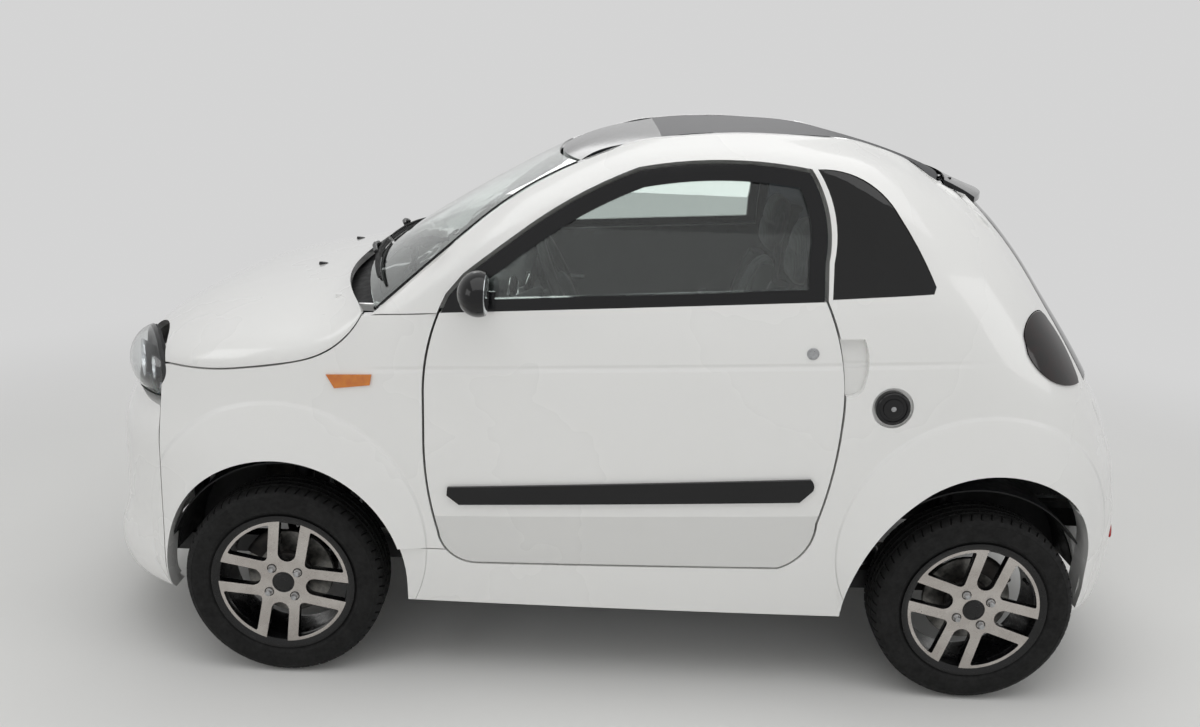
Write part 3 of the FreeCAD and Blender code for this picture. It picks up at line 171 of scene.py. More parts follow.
# Acrylic-coated ABS panels: wet gloss with a faint orange peel
whitePaint = makeFinish("glossWhitePaintedAbs",
                        {"Base Color": "#ECECEA", "IOR": 1.5, "Coat Weight": 1.0, "Coat Roughness": 0.03},
                        rough=(0.26, 0.29), roughSize=0.6, grain=[("Noise", 0.009, 0.00002)])
# Piano-black ABS: deep gloss that shows fine haze
pianoBlack = makeFinish("pianoBlackAbs",
                        {"IOR": 1.45, "Specular IOR Level": 0.4, "Coat Weight": 0.15, "Coat Roughness": 0.04},
                        ("#08080A", "#0D0D0F"), 0.2, (0.1, 0.18), 0.03, [("Noise", 0.012, 0.00002)])
# Leather-grained polypropylene: dull black with a pebble about 1.5 mm across
grainedPlastic = makeFinish("grainedPolypropylene", {"IOR": 1.49, "Specular IOR Level": 0.3},
                            ("#131314", "#1B1B1D"), 0.06, (0.45, 0.62), 0.02,
                            [("Voronoi", 0.0022, 0.00012), ("Noise", 0.02, 0.0002)])
# Inner trim: paler, finer grain
cabinPlastic = makeFinish("softGrainCabinPlastic", {"IOR": 1.49, "Specular IOR Level": 0.35},
                          ("#1E1F21", "#282A2C"), 0.15, (0.5, 0.7), 0.03,
                          [("Voronoi", 0.0018, 0.0001), ("Noise", 0.05, 0.0003)])
# Woven headliner and carpet: matt loops
headCloth = makeFinish("knittedHeadliner", {"Roughness": 0.95, "Sheen Weight": 0.3},
                       ("#5B5C5E", "#6C6D70"), 0.01, grain=[("Voronoi", 0.0025, 0.0005)])
carpet = makeFinish("needleFeltCarpet", {"Roughness": 1.0, "Sheen Weight": 0.4},
                    ("#17171A", "#2A2A2D"), 0.006, grain=[("Noise", 0.003, 0.0012), ("Voronoi", 0.004, 0.0008)])
# Tempered glass with a light green-grey tint, and privacy glass
clearGlass = makeFinish("lightTintTemperedGlass", {"Roughness": 0.0, "IOR": 1.5, "Transmission Weight": 1.0},
                        ("#E0E7E4", "#E4EBE8"), 0.6, grain=[("Noise", 0.3, 0.0002)])
privacyGlass = makeFinish("privacyGlass", {"Roughness": 0.0, "IOR": 1.5, "Transmission Weight": 1.0},
                          ("#1B1E21", "#1F2225"), 0.6, grain=[("Noise", 0.3, 0.0002)])
lampGlass = makeFinish("clearPolycarbonateLens", {"Roughness": 0.02, "IOR": 1.58, "Transmission Weight": 1.0},
                       ("#F4F6F6", "#FAFBFB"), 0.2, grain=[("Noise", 0.08, 0.0001)])
amberLens = makeFinish("orangeAcrylicLens",
                       {"Roughness": 0.12, "IOR": 1.49, "Transmission Weight": 0.25, "Coat Weight": 1.0},
                       ("#E07A08", "#F09014"), 0.02, grain=[("Wave", 0.006, 0.0003)])
smokedLens = makeFinish("smokedAcrylicLens",
                        {"Roughness": 0.06, "IOR": 1.45, "Coat Weight": 0.2, "Coat Roughness": 0.02},
                        ("#0C0909", "#1B0B0B"), 0.03, grain=[("Noise", 0.05, 0.0001)])
reflector = makeFinish("vacuumMetalledReflector", {"Metallic": 1.0}, ("#C9CCCF", "#E3E5E7"), 0.02,
                       (0.08, 0.16), 0.01, [("Wave", 0.008, 0.0002)])
mirrorGlass = makeFinish("silveredMirror", {"Metallic": 1.0}, ("#D4D8DA", "#DEE2E4"), 0.2, (0.01, 0.03), 0.1)
frostedGuide = makeFinish("frostedAcrylicGuide",
                          {"IOR": 1.49, "Transmission Weight": 0.35, "Subsurface Weight": 0.2},
                          ("#E4E8EA", "#EEF1F2"), 0.02, (0.35, 0.5), 0.01, [("Noise", 0.002, 0.0001)])
# Tyre rubber: dull, dusty in random patches
tyreRubber = makeFinish("tyreRubber", {"IOR": 1.52, "Specular IOR Level": 0.25},
                        ("#101010", "#1A1A1A"), 0.03, (0.62, 0.85), 0.01,
                        [("Noise", 0.0018, 0.00025), ("Noise", 0.01, 0.0003)])
castIron = makeFinish("castIron", {"Metallic": 0.8}, ("#3A3938", "#4B4744"), 0.02, (0.5, 0.7), 0.01,
                      [("Noise", 0.003, 0.0006)])
coatedSteel = makeFinish("blackPowderCoat", {"IOR": 1.5}, ("#101011", "#1A1A1B"), 0.1, (0.35, 0.5), 0.02,
                         [("Noise", 0.0025, 0.0002)])
plainSheet = makeFinish("galvanisedSheet", {"Metallic": 1.0}, ("#7C8084", "#94989B"), 0.02, (0.35, 0.5), 0.01,
                        [("Voronoi", 0.02, 0.0001)])
bareSteel = makeFinish("drawnSteelTube", {"Metallic": 1.0}, ("#7A7A78", "#93918C"), 0.05, (0.28, 0.42), 0.004,
                       [("Noise", 0.002, 0.0001)])
zincBolt = makeFinish("zincPlatedSteel", {"Metallic": 1.0}, ("#9A9B9C", "#B8B9BB"), 0.01, (0.25, 0.4), 0.004,
                      [("Noise", 0.001, 0.00008)])
leather = makeFinish("steeringWheelLeather", {"IOR": 1.45}, ("#121213", "#1B1B1D"), 0.03, (0.38, 0.5), 0.01,
                     [("Voronoi", 0.0016, 0.00015), ("Noise", 0.02, 0.0002)])
redReflex = makeFinish("redReflexLens", {"Roughness": 0.12, "IOR": 1.49, "Transmission Weight": 0.2},
                       ("#A80F0F", "#C01616"), 0.02, grain=[("Voronoi", 0.003, 0.0004)])
webbing = makeFinish("polyesterWebbing", {"Roughness": 0.85, "Sheen Weight": 0.2}, ("#16171A", "#232427"),
                     0.004, grain=[("Wave", 0.004, 0.0003)])
screenGlass = makeFinish("unlitScreenGlass", {"IOR": 1.5, "Coat Weight": 1.0, "Coat Roughness": 0.01},
                         ("#07090B", "#0B0E10"), 0.1, (0.05, 0.09), 0.02)


# Lines drawn on the side: height over x, the ledge and groove above the waist, and the fade of its ends
waistLine = {"slope": 0.0475, "height": 0.911, "ledge": 0.013, "groove": 0.022, "share": 0.35,
             "front": (-0.68, -0.52), "rear": (0.98, 0.72), "relief": 0.005}
tuckLine = {"slope": 0.0429, "height": 0.5215, "relief": 0.42}
# Each wheel opening's middle (x, z), half width and rise; its proud band is widest at the top
openings = [((-0.868, 0.29), 0.333, 0.352), ((0.982, 0.345), 0.325, 0.33)]
openingBand = {"width": 0.158, "rise": 0.75, "rest": 0.25, "step": (1.0, 0.91), "relief": 0.0035}


def addRelief(tree, height, distance, before):
    return addNode(tree, "Bump", {"Strength": 1.0, "Distance": distance},
                   {"Height": height, "Normal": before}).outputs["Normal"]


def creasedPaint(name, tuck):
    # White paint with the side's fine lines as bumps, in metres: the ledge at the waist with the groove
    # above it, the step where each wheel opening's band meets the side, and on the doors the low line
    # below which the skin tucks under.
    material = whitePaint.copy()
    material.name = name
    tree, shader, place = nodesOf(material)
    normal = shader.inputs["Normal"].links[0].from_socket
    split = addNode(tree, "SeparateXYZ", {}, {"Vector": place})
    x, z = split.outputs["X"], split.outputs["Z"]

    def above(line):
        return calc(tree, "SUBTRACT", z, calc(tree, "MULTIPLY_ADD", x, line["slope"], line["height"]))

    def vector(operation, *values):
        return calc(tree, operation, *values, kind="VectorMath")

    level = above(waistLine)
    ledge = ease(tree, level, 0.0, waistLine["ledge"], 1.0, 0.0)
    groove = ease(tree, level, waistLine["ledge"], waistLine["groove"], 0.0, waistLine["share"])
    ends = calc(tree, "MULTIPLY", ease(tree, x, *waistLine["front"]), ease(tree, x, *waistLine["rear"]))
    height = calc(tree, "MULTIPLY", calc(tree, "ADD", ledge, groove), ends)
    normal = addRelief(tree, height, waistLine["relief"], normal)
    band = openingBand
    for (middleX, middleZ), across, rise in openings:
        out = vector("MULTIPLY_ADD", place, (1, 0, 1), (-middleX, 0, -middleZ))
        reach = vector("LENGTH", out)
        share = vector("LENGTH", vector("MULTIPLY", out, (1 / across, 0, 1 / rise)))
        steep = vector("DOT_PRODUCT", vector("NORMALIZE", out), (0, 0, 1))
        width = calc(tree, "MULTIPLY_ADD", steep, band["rise"] * band["width"], band["rest"] * band["width"])
        past = calc(tree, "DIVIDE", calc(tree, "SUBTRACT", reach, calc(tree, "DIVIDE", reach, share)), width)
        normal = addRelief(tree, ease(tree, past, *band["step"]), band["relief"], normal)
    if tuck:
        normal = addRelief(tree, calc(tree, "MINIMUM", above(tuckLine), 0.0), tuckLine["relief"], normal)
    tree.links.new(normal, shader.inputs["Normal"])
    return material


roofLook = {"edge": (0.098, 0.1), "front": "#14171B", "foil": ("#2B2B2E", "#343538"), "cloud": 12.0,
            "rough": (0.12, 0.5)}
clothLook = {"thread": 2.4e-3, "wave": 0.6, "cloud": 25.0, "mix": 0.6, "stops": (0.3, 1.0),
             "tints": ("#26272A", "#55575B"), "relief": (0.6, 0.0006)}


def roofSkin():
    # The roof: a gloss dark front third that carries on from the screen, then a matt dark grey foil
    material = makeFinish("foiledRoofSkin", {"IOR": 1.5, "Specular IOR Level": 0.2},
                          grain=[("Noise", 0.004, 0.00008)])
    tree, shader, place = nodesOf(material)
    look = roofLook
    along = addNode(tree, "SeparateXYZ", {}, {"Vector": place}).outputs["X"]
    edge = {"From Min": look["edge"][0], "From Max": look["edge"][1]}
    back = addNode(tree, "MapRange", edge, {"Value": along}).outputs["Result"]
    cloud = addNode(tree, "TexNoise", {"Scale": look["cloud"], "Detail": 3}, {"Vector": place})
    foil = addNode(tree, "ValToRGB", {}, {"Fac": cloud.outputs["Fac"]})
    for stop, tint in zip(foil.color_ramp.elements, look["foil"]):
        stop.color = linearColour(tint)
    paint = addNode(tree, "Mix", {"data_type": "RGBA", 6: linearColour(look["front"])},
                    {0: back, 7: foil.outputs["Color"]})
    tree.links.new(paint.outputs[2], shader.inputs["Base Color"])
    rough = addNode(tree, "MapRange", {"To Min": look["rough"][0], "To Max": look["rough"][1]}, {"Value": back})
    tree.links.new(rough.outputs["Result"], shader.inputs["Roughness"])
    return material


def seatCloth():
    # Upholstery cloth: a plain weave with threads 2.4 mm apart, drawn coarse enough to show
    material = makeFinish("plainWeaveSeatCloth",
                          {"Roughness": 0.9, "Sheen Weight": 0.35, "Sheen Roughness": 0.5})
    tree, shader, place = nodesOf(material)
    look = clothLook
    bands = []
    for turn in ((0, 0, 0), (0, 0, math.pi / 2)):
        laid = addNode(tree, "Mapping", {"Rotation": turn}, {"Vector": place})
        settings = {"Scale": 1 / (look["thread"] * 2 * math.pi), "Distortion": look["wave"], "Detail": 1}
        bands.append(addNode(tree, "TexWave", settings, {"Vector": laid.outputs["Vector"]}))
    over = calc(tree, "MULTIPLY", bands[0].outputs["Fac"], bands[1].outputs["Fac"])
    cloud = addNode(tree, "TexNoise", {"Scale": look["cloud"], "Detail": 3}, {"Vector": place})
    blend = calc(tree, "MULTIPLY_ADD", over, look["mix"], cloud.outputs["Fac"])
    ramp = addNode(tree, "ValToRGB", {}, {"Fac": blend})
    for stop, spot, tint in zip(ramp.color_ramp.elements, look["stops"], look["tints"]):
        stop.position, stop.color = spot, linearColour(tint)
    tree.links.new(ramp.outputs["Color"], shader.inputs["Base Color"])
    strength, height = look["relief"]
    relief = addNode(tree, "Bump", {"Strength": strength, "Distance": height}, {"Height": over})
    tree.links.new(relief.outputs["Normal"], shader.inputs["Normal"])
    return material


doorPaint = creasedPaint("glossWhiteDoorSkin", True)
sidePaint = creasedPaint("glossWhiteSidePanel", False)
# Diamond-cut alloy: a warm bright metal with fine turning marks, clear lacquer over it
alloy = makeFinish("diamondCutAlloy", {"Metallic": 1.0, "Coat Weight": 0.4, "Coat Roughness": 0.08},
                   ("#B3ADA8", "#C2BDB8"), 0.06, (0.22, 0.32), 0.02, [("Noise", 0.0012, 0.00004)])
# Gloss black lacquer in the wheel's pockets and barrel
wheelBlack = makeFinish("wheelPocketLacquer",
                        {"IOR": 1.45, "Specular IOR Level": 0.4, "Coat Weight": 0.15, "Coat Roughness": 0.06},
                        ("#09090A", "#0F0F10"), 0.05, (0.2, 0.32), 0.03, [("Noise", 0.006, 0.00005)])
# Brake disc: grey iron swept bright by the pads
discIron = makeFinish("sweptBrakeIron", {"Metallic": 1.0}, ("#6E6D6B", "#8A8883"), 0.01, (0.3, 0.45), 0.01,
                      [("Noise", 0.002, 0.0001)])
roofFoil = roofSkin()
wovenCloth = seatCloth()
slotFinish = {"body_paint": whitePaint, "black_gloss": pianoBlack, "black_trim": grainedPlastic,
              "roof": roofFoil, "glass": clearGlass, "dark_glass": privacyGlass, "lamp": lampGlass,
              "smoked_lamp": smokedLens, "amber_lens": amberLens, "tyre": tyreRubber, "alloy": alloy,
              "frame": coatedSteel, "floor": plainSheet, "cast": castIron, "steel": bareSteel,
              "seat_fabric": wovenCloth}
nodeFinish = {"dashboard": cabinPlastic, "steering_wheel": leather}
for side, word in sides:
    nodeFinish["door_panel_" + word] = doorPaint
    nodeFinish["body_side_" + word] = nodeFinish["fender_" + word] = sidePaint
for entry in frame["record"]["subparts"]:
    finish = nodeFinish.get(entry["node"], slotFinish[entry["material_slot"]])
    piece = nodes[entry["node"]]
    if not piece.material_slots:
        piece.data.materials.append(None)
    for holder in piece.material_slots:
        holder.material = finish
print("stage: finishes made", len(bpy.data.materials))


# Distances in metres below which points and edges merge, and angles above which an edge stays sharp
meshing = {"merge": 2e-6, "thin": 1e-7, "sharp": 38, "liningSharp": 35, "liningLift": 0.0012}


def readPoints(mesh):
    points = np.empty(len(mesh.vertices) * 3)
    mesh.vertices.foreach_get("co", points)
    return points.reshape(-1, 3)


def showPiece(name, mesh, body):
    piece = bpy.data.objects.new(name, mesh)
    bpy.context.scene.collection.objects.link(piece)
    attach(piece, body)
    return piece


def mergeDoubles(mesh, thin=False):
    # Merges doubled points, with thin also drops edges of no length, and turns the faces outwards
    shape = bmesh.new()
    shape.from_mesh(mesh)
    bmesh.ops.remove_doubles(shape, verts=shape.verts, dist=meshing["merge"])
    if thin:
        bmesh.ops.dissolve_degenerate(shape, edges=shape.edges, dist=meshing["thin"])
    bmesh.ops.recalc_face_normals(shape, faces=shape.faces)
    shape.to_mesh(mesh)
    shape.free()


def gridPiece(name, grids, body, finishes):
    # A mesh from point grids (rows, columns, 3), each given as (points, finish), or (points, finish, True)
    # where its last row also joins its first. Columns always join; doubled points are merged.
    corners, faces, marks, base = [], [], [], 0
    for points, mark, *loopRows in grids:
        rows, columns = points.shape[:2]
        i, j = np.indices((rows if loopRows else rows - 1, columns)).reshape(2, -1)
        k, m = (i + 1) % rows, (j + 1) % columns
        faces.append(base + np.stack([i * columns + j, k * columns + j, k * columns + m, i * columns + m], 1))
        marks.append(np.full(len(i), mark))
        corners.append(points.reshape(-1, 3))
        base += rows * columns
    mesh = bpy.data.meshes.new(name)
    mesh.from_pydata(np.concatenate(corners).tolist(), [], np.concatenate(faces).tolist())
    mesh.polygons.foreach_set("material_index", np.concatenate(marks).astype(np.int32))
    mesh.polygons.foreach_set("use_smooth", np.ones(len(mesh.polygons), bool))
    mergeDoubles(mesh, True)
    mesh.set_sharp_from_angle(angle=math.radians(meshing["sharp"]))
    for finish in finishes:
        mesh.materials.append(finish)
    return showPiece(name, mesh, body)


def capped(rings):
    # The rings with the first and last gathered to a point each
    ends = [line.mean(1, keepdims=True).repeat(rings.shape[1], 1) for line in (rings[:1], rings[-1:])]
    return np.concatenate([ends[0], rings, ends[1]])


def leanTurn(angle):
    # Turns the X-Z plane about Y by an angle in degrees
    a = math.radians(angle)
    return np.array([[math.cos(a), 0, math.sin(a)], [0, 1, 0], [-math.sin(a), 0, math.cos(a)]])


def turnedGrid(profile, centre, side, around, start=0.0, sweep=2 * math.pi):
    # A profile of (radius, outward distance) turned about an axle along Y; outward is side times Y
    profile = np.asarray(profile, float)
    count = around if sweep > 6.28 else around + 1
    angle = start + sweep * np.arange(count) / around
    x = centre[0] + profile[:, None, 0] * np.cos(angle)
    z = centre[2] + profile[:, None, 0] * np.sin(angle)
    y = centre[1] + side * np.repeat(profile[:, 1:2], count, 1)
    return np.stack([x, y, z], -1)


def smoothLine(points, count):
    # A curve through the points; each stretch is a cubic sloped like the line between its neighbours
    p = np.asarray(points, float)
    p = np.vstack([2 * p[0] - p[1], p, 2 * p[-1] - p[-2]])
    t = np.linspace(0, len(points) - 1 - 1e-9, count)
    i = t.astype(int)
    f = (t - i)[:, None]
    a, b, c, d = p[i], p[i + 1], p[i + 2], p[i + 3]
    return 0.5 * (2 * b + (c - a) * f + (2 * a - 5 * b + 4 * c - d) * f ** 2 + (3 * b - a - 3 * c + d) * f ** 3)


def tubeGrid(line, across, upright=(0, 0, 1), around=12, power=2.0, taper=None):
    # A superellipse of half sizes across = (sideways, upwards) carried along the line, closed at both ends
    line = np.asarray(line, float)
    ahead = np.gradient(line, axis=0)
    ahead /= np.linalg.norm(ahead, axis=1)[:, None]
    sideways = np.cross(ahead, np.asarray(upright, float))
    sideways /= np.linalg.norm(sideways, axis=1)[:, None]
    upward = np.cross(sideways, ahead)
    angle = 2 * np.pi * (np.arange(around) + 0.5) / around
    c, s = np.cos(angle), np.sin(angle)
    c = np.sign(c) * np.abs(c) ** (2 / power)
    s = np.sign(s) * np.abs(s) ** (2 / power)
    size = np.ones(len(line)) if taper is None else np.asarray(taper, float)
    ring = (line[:, None] + size[:, None, None] * (across[0] * c[None, :, None] * sideways[:, None]
                                                  + across[1] * s[None, :, None] * upward[:, None]))
    first = np.repeat(line[:1, None], around, 1)
    last = np.repeat(line[-1:, None], around, 1)
    return np.concatenate([first, ring, last])


corners = {"front_left": (-0.877, -0.6275, 0.272), "rear_left": (0.998, -0.6275, 0.272),
           "front_right": (-0.877, 0.6275, 0.272), "rear_right": (0.998, 0.6275, 0.272)}

# Tyre: the wall's section as (radius, half width) from bead to shoulder, grooves as (middle, half width),
# rows between them, the crown's fall, and the columns of a pitch, two of which bound each slot
treadShape = {"radius": 0.272, "foot": 0.262, "pitches": 62, "depth": 0.0065, "lean": 0.35, "edge": 0.0012,
              "grooves": [(-0.037, 0.0042), (-0.0135, 0.0045), (0.0135, 0.0045), (0.037, 0.0042)],
              "flats": (-0.056, -0.05, -0.0255, -0.024, 0.0, 0.024, 0.0255, 0.05, 0.056),
              "section": [(0.18, 0.063), (0.1975, 0.0666), (0.202, 0.0712), (0.208, 0.0742), (0.2105, 0.0752),
                          (0.213, 0.075), (0.226, 0.0768), (0.238, 0.0762), (0.248, 0.0742), (0.25, 0.0745),
                          (0.252, 0.0732), (0.26, 0.068), (0.2655, 0.0615)],
              "crown": (0.0012, 0.05), "shoulder": (0.0022, 0.046, 0.01),
              "columns": (0.0, 0.04, 0.16, 0.2, 0.38, 0.5, 0.54, 0.64, 0.68, 0.86),
              "outerSlot": (0.04, 0.16), "ribSlot": (0.54, 0.64), "outerFrom": 0.041, "rib": (0.0185, 0.0325),
              "middle": (0.009, 0.45)}


def makeTyre(corner, centre):
    # Section rows run bead to bead; columns run round in pitches. Every pitch has two slots whose
    # walls are columns of their own, and grooves are rows of their own, so both stay crisp.
    shape = treadShape
    side = math.copysign(1, centre[1])
    wall = smoothLine(shape["section"], 30)
    edge = shape["edge"]
    rows = [row for c, h in shape["grooves"]
            for row in ((c - h, 0.0), (c - h + edge, 1.0), (c + h - edge, 1.0), (c + h, 0.0))]
    w, groove = np.array(sorted(rows + [(flat, 0.0) for flat in shape["flats"]]))[::-1].T
    (fall, half), (drop, start, run) = shape["crown"], shape["shoulder"]
    crown = shape["radius"] - fall * (w / half) ** 2 - drop * np.clip((np.abs(w) - start) / run, 0, 1) ** 2
    radius, out = np.concatenate([wall, np.stack([crown, w], 1), wall[::-1] * (1, -1)]).T
    groove = np.concatenate([np.zeros(30), groove, np.zeros(30)])
    column = np.array(shape["columns"])
    turn = (np.arange(shape["pitches"])[:, None] + column).ravel() / shape["pitches"] * 2 * np.pi
    outerSlot = np.tile(np.isin(column, shape["outerSlot"]), shape["pitches"])
    ribSlot = np.tile(np.isin(column, shape["ribSlot"]), shape["pitches"])
    onTread = radius > shape["foot"]
    lateral = np.abs(out)
    ribInner, ribOuter = shape["rib"]
    middle, share = shape["middle"]
    cut = np.outer((lateral > shape["outerFrom"]) & onTread, outerSlot)
    cut = cut + np.outer((lateral > ribInner) & (lateral < ribOuter) & onTread, ribSlot)
    cut = cut + share * np.outer((lateral < middle) & onTread, outerSlot)
    cut = np.maximum(cut, groove[:, None])
    wallLean = np.interp(radius, (0.2, shape["foot"]), (0, shape["lean"] * 0.06 / shape["radius"]))
    angle = turn[None] + np.where(onTread, shape["lean"] * lateral / shape["radius"], wallLean)[:, None]
    reach = radius[:, None] - shape["depth"] * cut
    points = np.stack([centre[0] + reach * np.cos(angle),
                       centre[1] + side * np.repeat(out[:, None], len(turn), 1),
                       centre[2] + reach * np.sin(angle)], -1)
    tyre = gridPiece("tread_" + corner, [(points, 0, True)], "wheel_" + corner, [tyreRubber])
    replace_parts(tyre, "tyre_" + corner)


for corner, centre in corners.items():
    makeTyre(corner, centre)
print("stage: tyres made")

wheelShape = {"face": 0.0675, "edge": 0.177, "arc": 0.1695, "slotFoot": 0.061, "slotHalf": (0.025, 0.0295),
              "outerHalf": (0.05, 0.056), "lean": {"front": -8, "rear": -16}, "depth": 0.0105,
              "bevel": 0.0009, "boltCircle": 0.0495, "stem": (0.16, 0.028, 0.058),
              "stemTaper": (1.3, 1.1, 0.8, 0.9, 0.9),
              "calliper": {"front": 128, "rear": 52}, "calliperSweep": 48}
# Turned sections as (radius, outward distance); the cap's and the bolts' are measured from the spokes' face
wheelSections = {
    "barrel": [(0.1955, 0.0725), (0.1962, 0.07), (0.1955, 0.0685), (0.179, 0.0655), (0.178, 0.06),
               (0.178, -0.06), (0.179, -0.0655), (0.1955, -0.0685), (0.1962, -0.071), (0.195, -0.0735),
               (0.174, -0.0725), (0.171, -0.06), (0.168, 0.02), (0.169, 0.05), (0.174, 0.0655),
               (0.177, 0.0672), (0.185, 0.0705), (0.192, 0.0732)],
    "hub": [(0.0152, 0.0415), (0.06, 0.0415), (0.05, 0.02), (0.045, -0.022), (0.0152, -0.022)],
    "cap": [(0, -0.002), (0.03, -0.002), (0.03, 0.001), (0.0285, 0.0022), (0.027, 0.0012), (0.025, 0.0008),
            (0.022, 0.0028), (0.012, 0.0038), (0, 0.004)],
    "boltSeat": [(0, -0.001), (0.013, -0.001), (0.013, 0.0006), (0.0112, 0.001), (0.01, -0.0004)],
    "bolt": [(0.0096, -0.001), (0.0096, 0.0035), (0.0085, 0.0045), (0.0085, 0.0125), (0.0072, 0.014),
             (0, 0.014)],
    "disc": [(0.06, -0.0034), (0.1183, -0.0034), (0.1195, -0.0046), (0.1195, -0.0076), (0.1155, -0.0078),
             (0.1155, -0.0102), (0.1195, -0.0104), (0.1195, -0.0134), (0.1183, -0.0146), (0.06, -0.0146)],
    "hat": [(0.047, 0.02), (0.052, 0.02), (0.058, 0.018), (0.062, 0.014), (0.062, -0.003), (0.047, -0.003)],
    "calliper": [(0.086, 0.008), (0.12, 0.008), (0.127, 0.006), (0.131, 0.001), (0.131, -0.02),
                 (0.127, -0.025), (0.086, -0.026), (0.086, -0.0172), (0.1225, -0.0172), (0.1225, -0.001),
                 (0.086, -0.001)]}


def wheelOutlines(shape, lean):
    # The outer edge runs along the rim's arc and dips into a round-footed slot at each of four spoke
    # pairs; each window lies between two pairs, its inner corner eased by a quadratic curve.
    edge, arc, foot = shape["edge"], shape["arc"], shape["slotFoot"]
    (s0, s1), (w0, w1) = shape["slotHalf"], shape["outerHalf"]
    u1 = math.sqrt(edge ** 2 - s1 ** 2)
    bow = np.radians(np.linspace(270, 90, 17))
    bottom = np.stack([foot + s0 + s0 * -np.abs(np.cos(bow)), s0 * np.sin(bow)], 1)
    slot = np.concatenate([[(u1, -s1)], bottom, [(u1, s1)]])
    a0 = math.atan2(s1, u1)
    rim = np.linspace(a0, math.pi / 2 - a0, 26)[1:-1]
    stretch = np.concatenate([slot, edge * np.stack([np.cos(rim), np.sin(rim)], 1)])
    t = np.linspace(0, 1, 11)[:, None]
    near, corner = np.array([w0 + 0.018, w0 + 0.001]), np.array([w0, w0])
    inner = (1 - t) ** 2 * near + 2 * t * (1 - t) * corner + t ** 2 * near[::-1]
    u2 = math.sqrt(arc ** 2 - w1 ** 2)
    b0 = math.atan2(w1, u2)
    start = np.array([u2 - 0.009, w1 - 0.0005])
    turn = arc * np.array([math.cos(b0 + 0.05), math.sin(b0 + 0.05)])
    eased = (1 - t) ** 2 * start + 2 * t * (1 - t) * np.array([u2, w1]) + t ** 2 * turn
    sweep = np.linspace(b0 + 0.05, math.pi / 2 - b0 - 0.05, 20)[1:-1]
    window = np.concatenate([inner[::-1], eased, arc * np.stack([np.cos(sweep), np.sin(sweep)], 1),
                             eased[::-1, ::-1]])
    outer, windows = [], []
    for k in range(4):
        a = math.radians(lean) + k * math.pi / 2
        spin = np.array([[math.cos(a), math.sin(a)], [-math.sin(a), math.cos(a)]])
        outer.append(stretch @ spin)
        windows.append(window @ spin)
    return [np.concatenate(outer)] + windows


def toWheel(flat, centre):
    # Wheel plane coordinates (rearward on the left, upward, outward) to the car's frame
    side = math.copysign(1, centre[1])
    return np.stack([centre[0] - side * flat[..., 0], centre[1] + side * flat[..., 2],
                     centre[2] + flat[..., 1]], -1)


def makeRim(corner, centre):
    # The spoked face is a filled flat curve given depth and a small bevel; the barrel and its lips are
    # a turned section.
    shape = wheelShape
    side = math.copysign(1, centre[1])
    curve = bpy.data.curves.new("spokes_" + corner, "CURVE")
    curve.dimensions, curve.fill_mode = "2D", "BOTH"
    curve.extrude, curve.bevel_depth, curve.bevel_resolution = shape["depth"], shape["bevel"], 1
    for outline in wheelOutlines(shape, shape["lean"][corner.split("_")[0]]):
        line = curve.splines.new("POLY")
        line.points.add(len(outline) - 1)
        line.points.foreach_set("co", np.column_stack([outline, 0 * outline[:, 0],
                                                       1 + 0 * outline[:, 0]]).ravel())
        line.use_cyclic_u = True
    holder = bpy.data.objects.new("outline_" + corner, curve)
    mesh = bpy.data.meshes.new_from_object(holder)
    bpy.data.objects.remove(holder)
    co = readPoints(mesh)
    co[:, 2] += shape["face"] - shape["depth"] - shape["bevel"]
    mesh.vertices.foreach_set("co", toWheel(co, centre).ravel())
    mesh.update()
    mergeDoubles(mesh)
    normals = np.empty(len(mesh.polygons) * 3)
    mesh.polygons.foreach_get("normal", normals)
    mark = np.where(normals.reshape(-1, 3)[:, 1] * side > 0.9, 0, 1).astype(np.int32)
    mesh.materials.clear()
    for finish in (alloy, wheelBlack):
        mesh.materials.append(finish)
    mesh.polygons.foreach_set("material_index", mark)
    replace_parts(showPiece("rim_face_" + corner, mesh, "wheel_" + corner), "rim_" + corner)
    rings = [(turnedGrid(wheelSections[part], centre, side, around), 0, True)
             for part, around in (("barrel", 96), ("hub", 48))]
    gridPiece("rim_barrel_" + corner, rings, "wheel_" + corner, [wheelBlack])


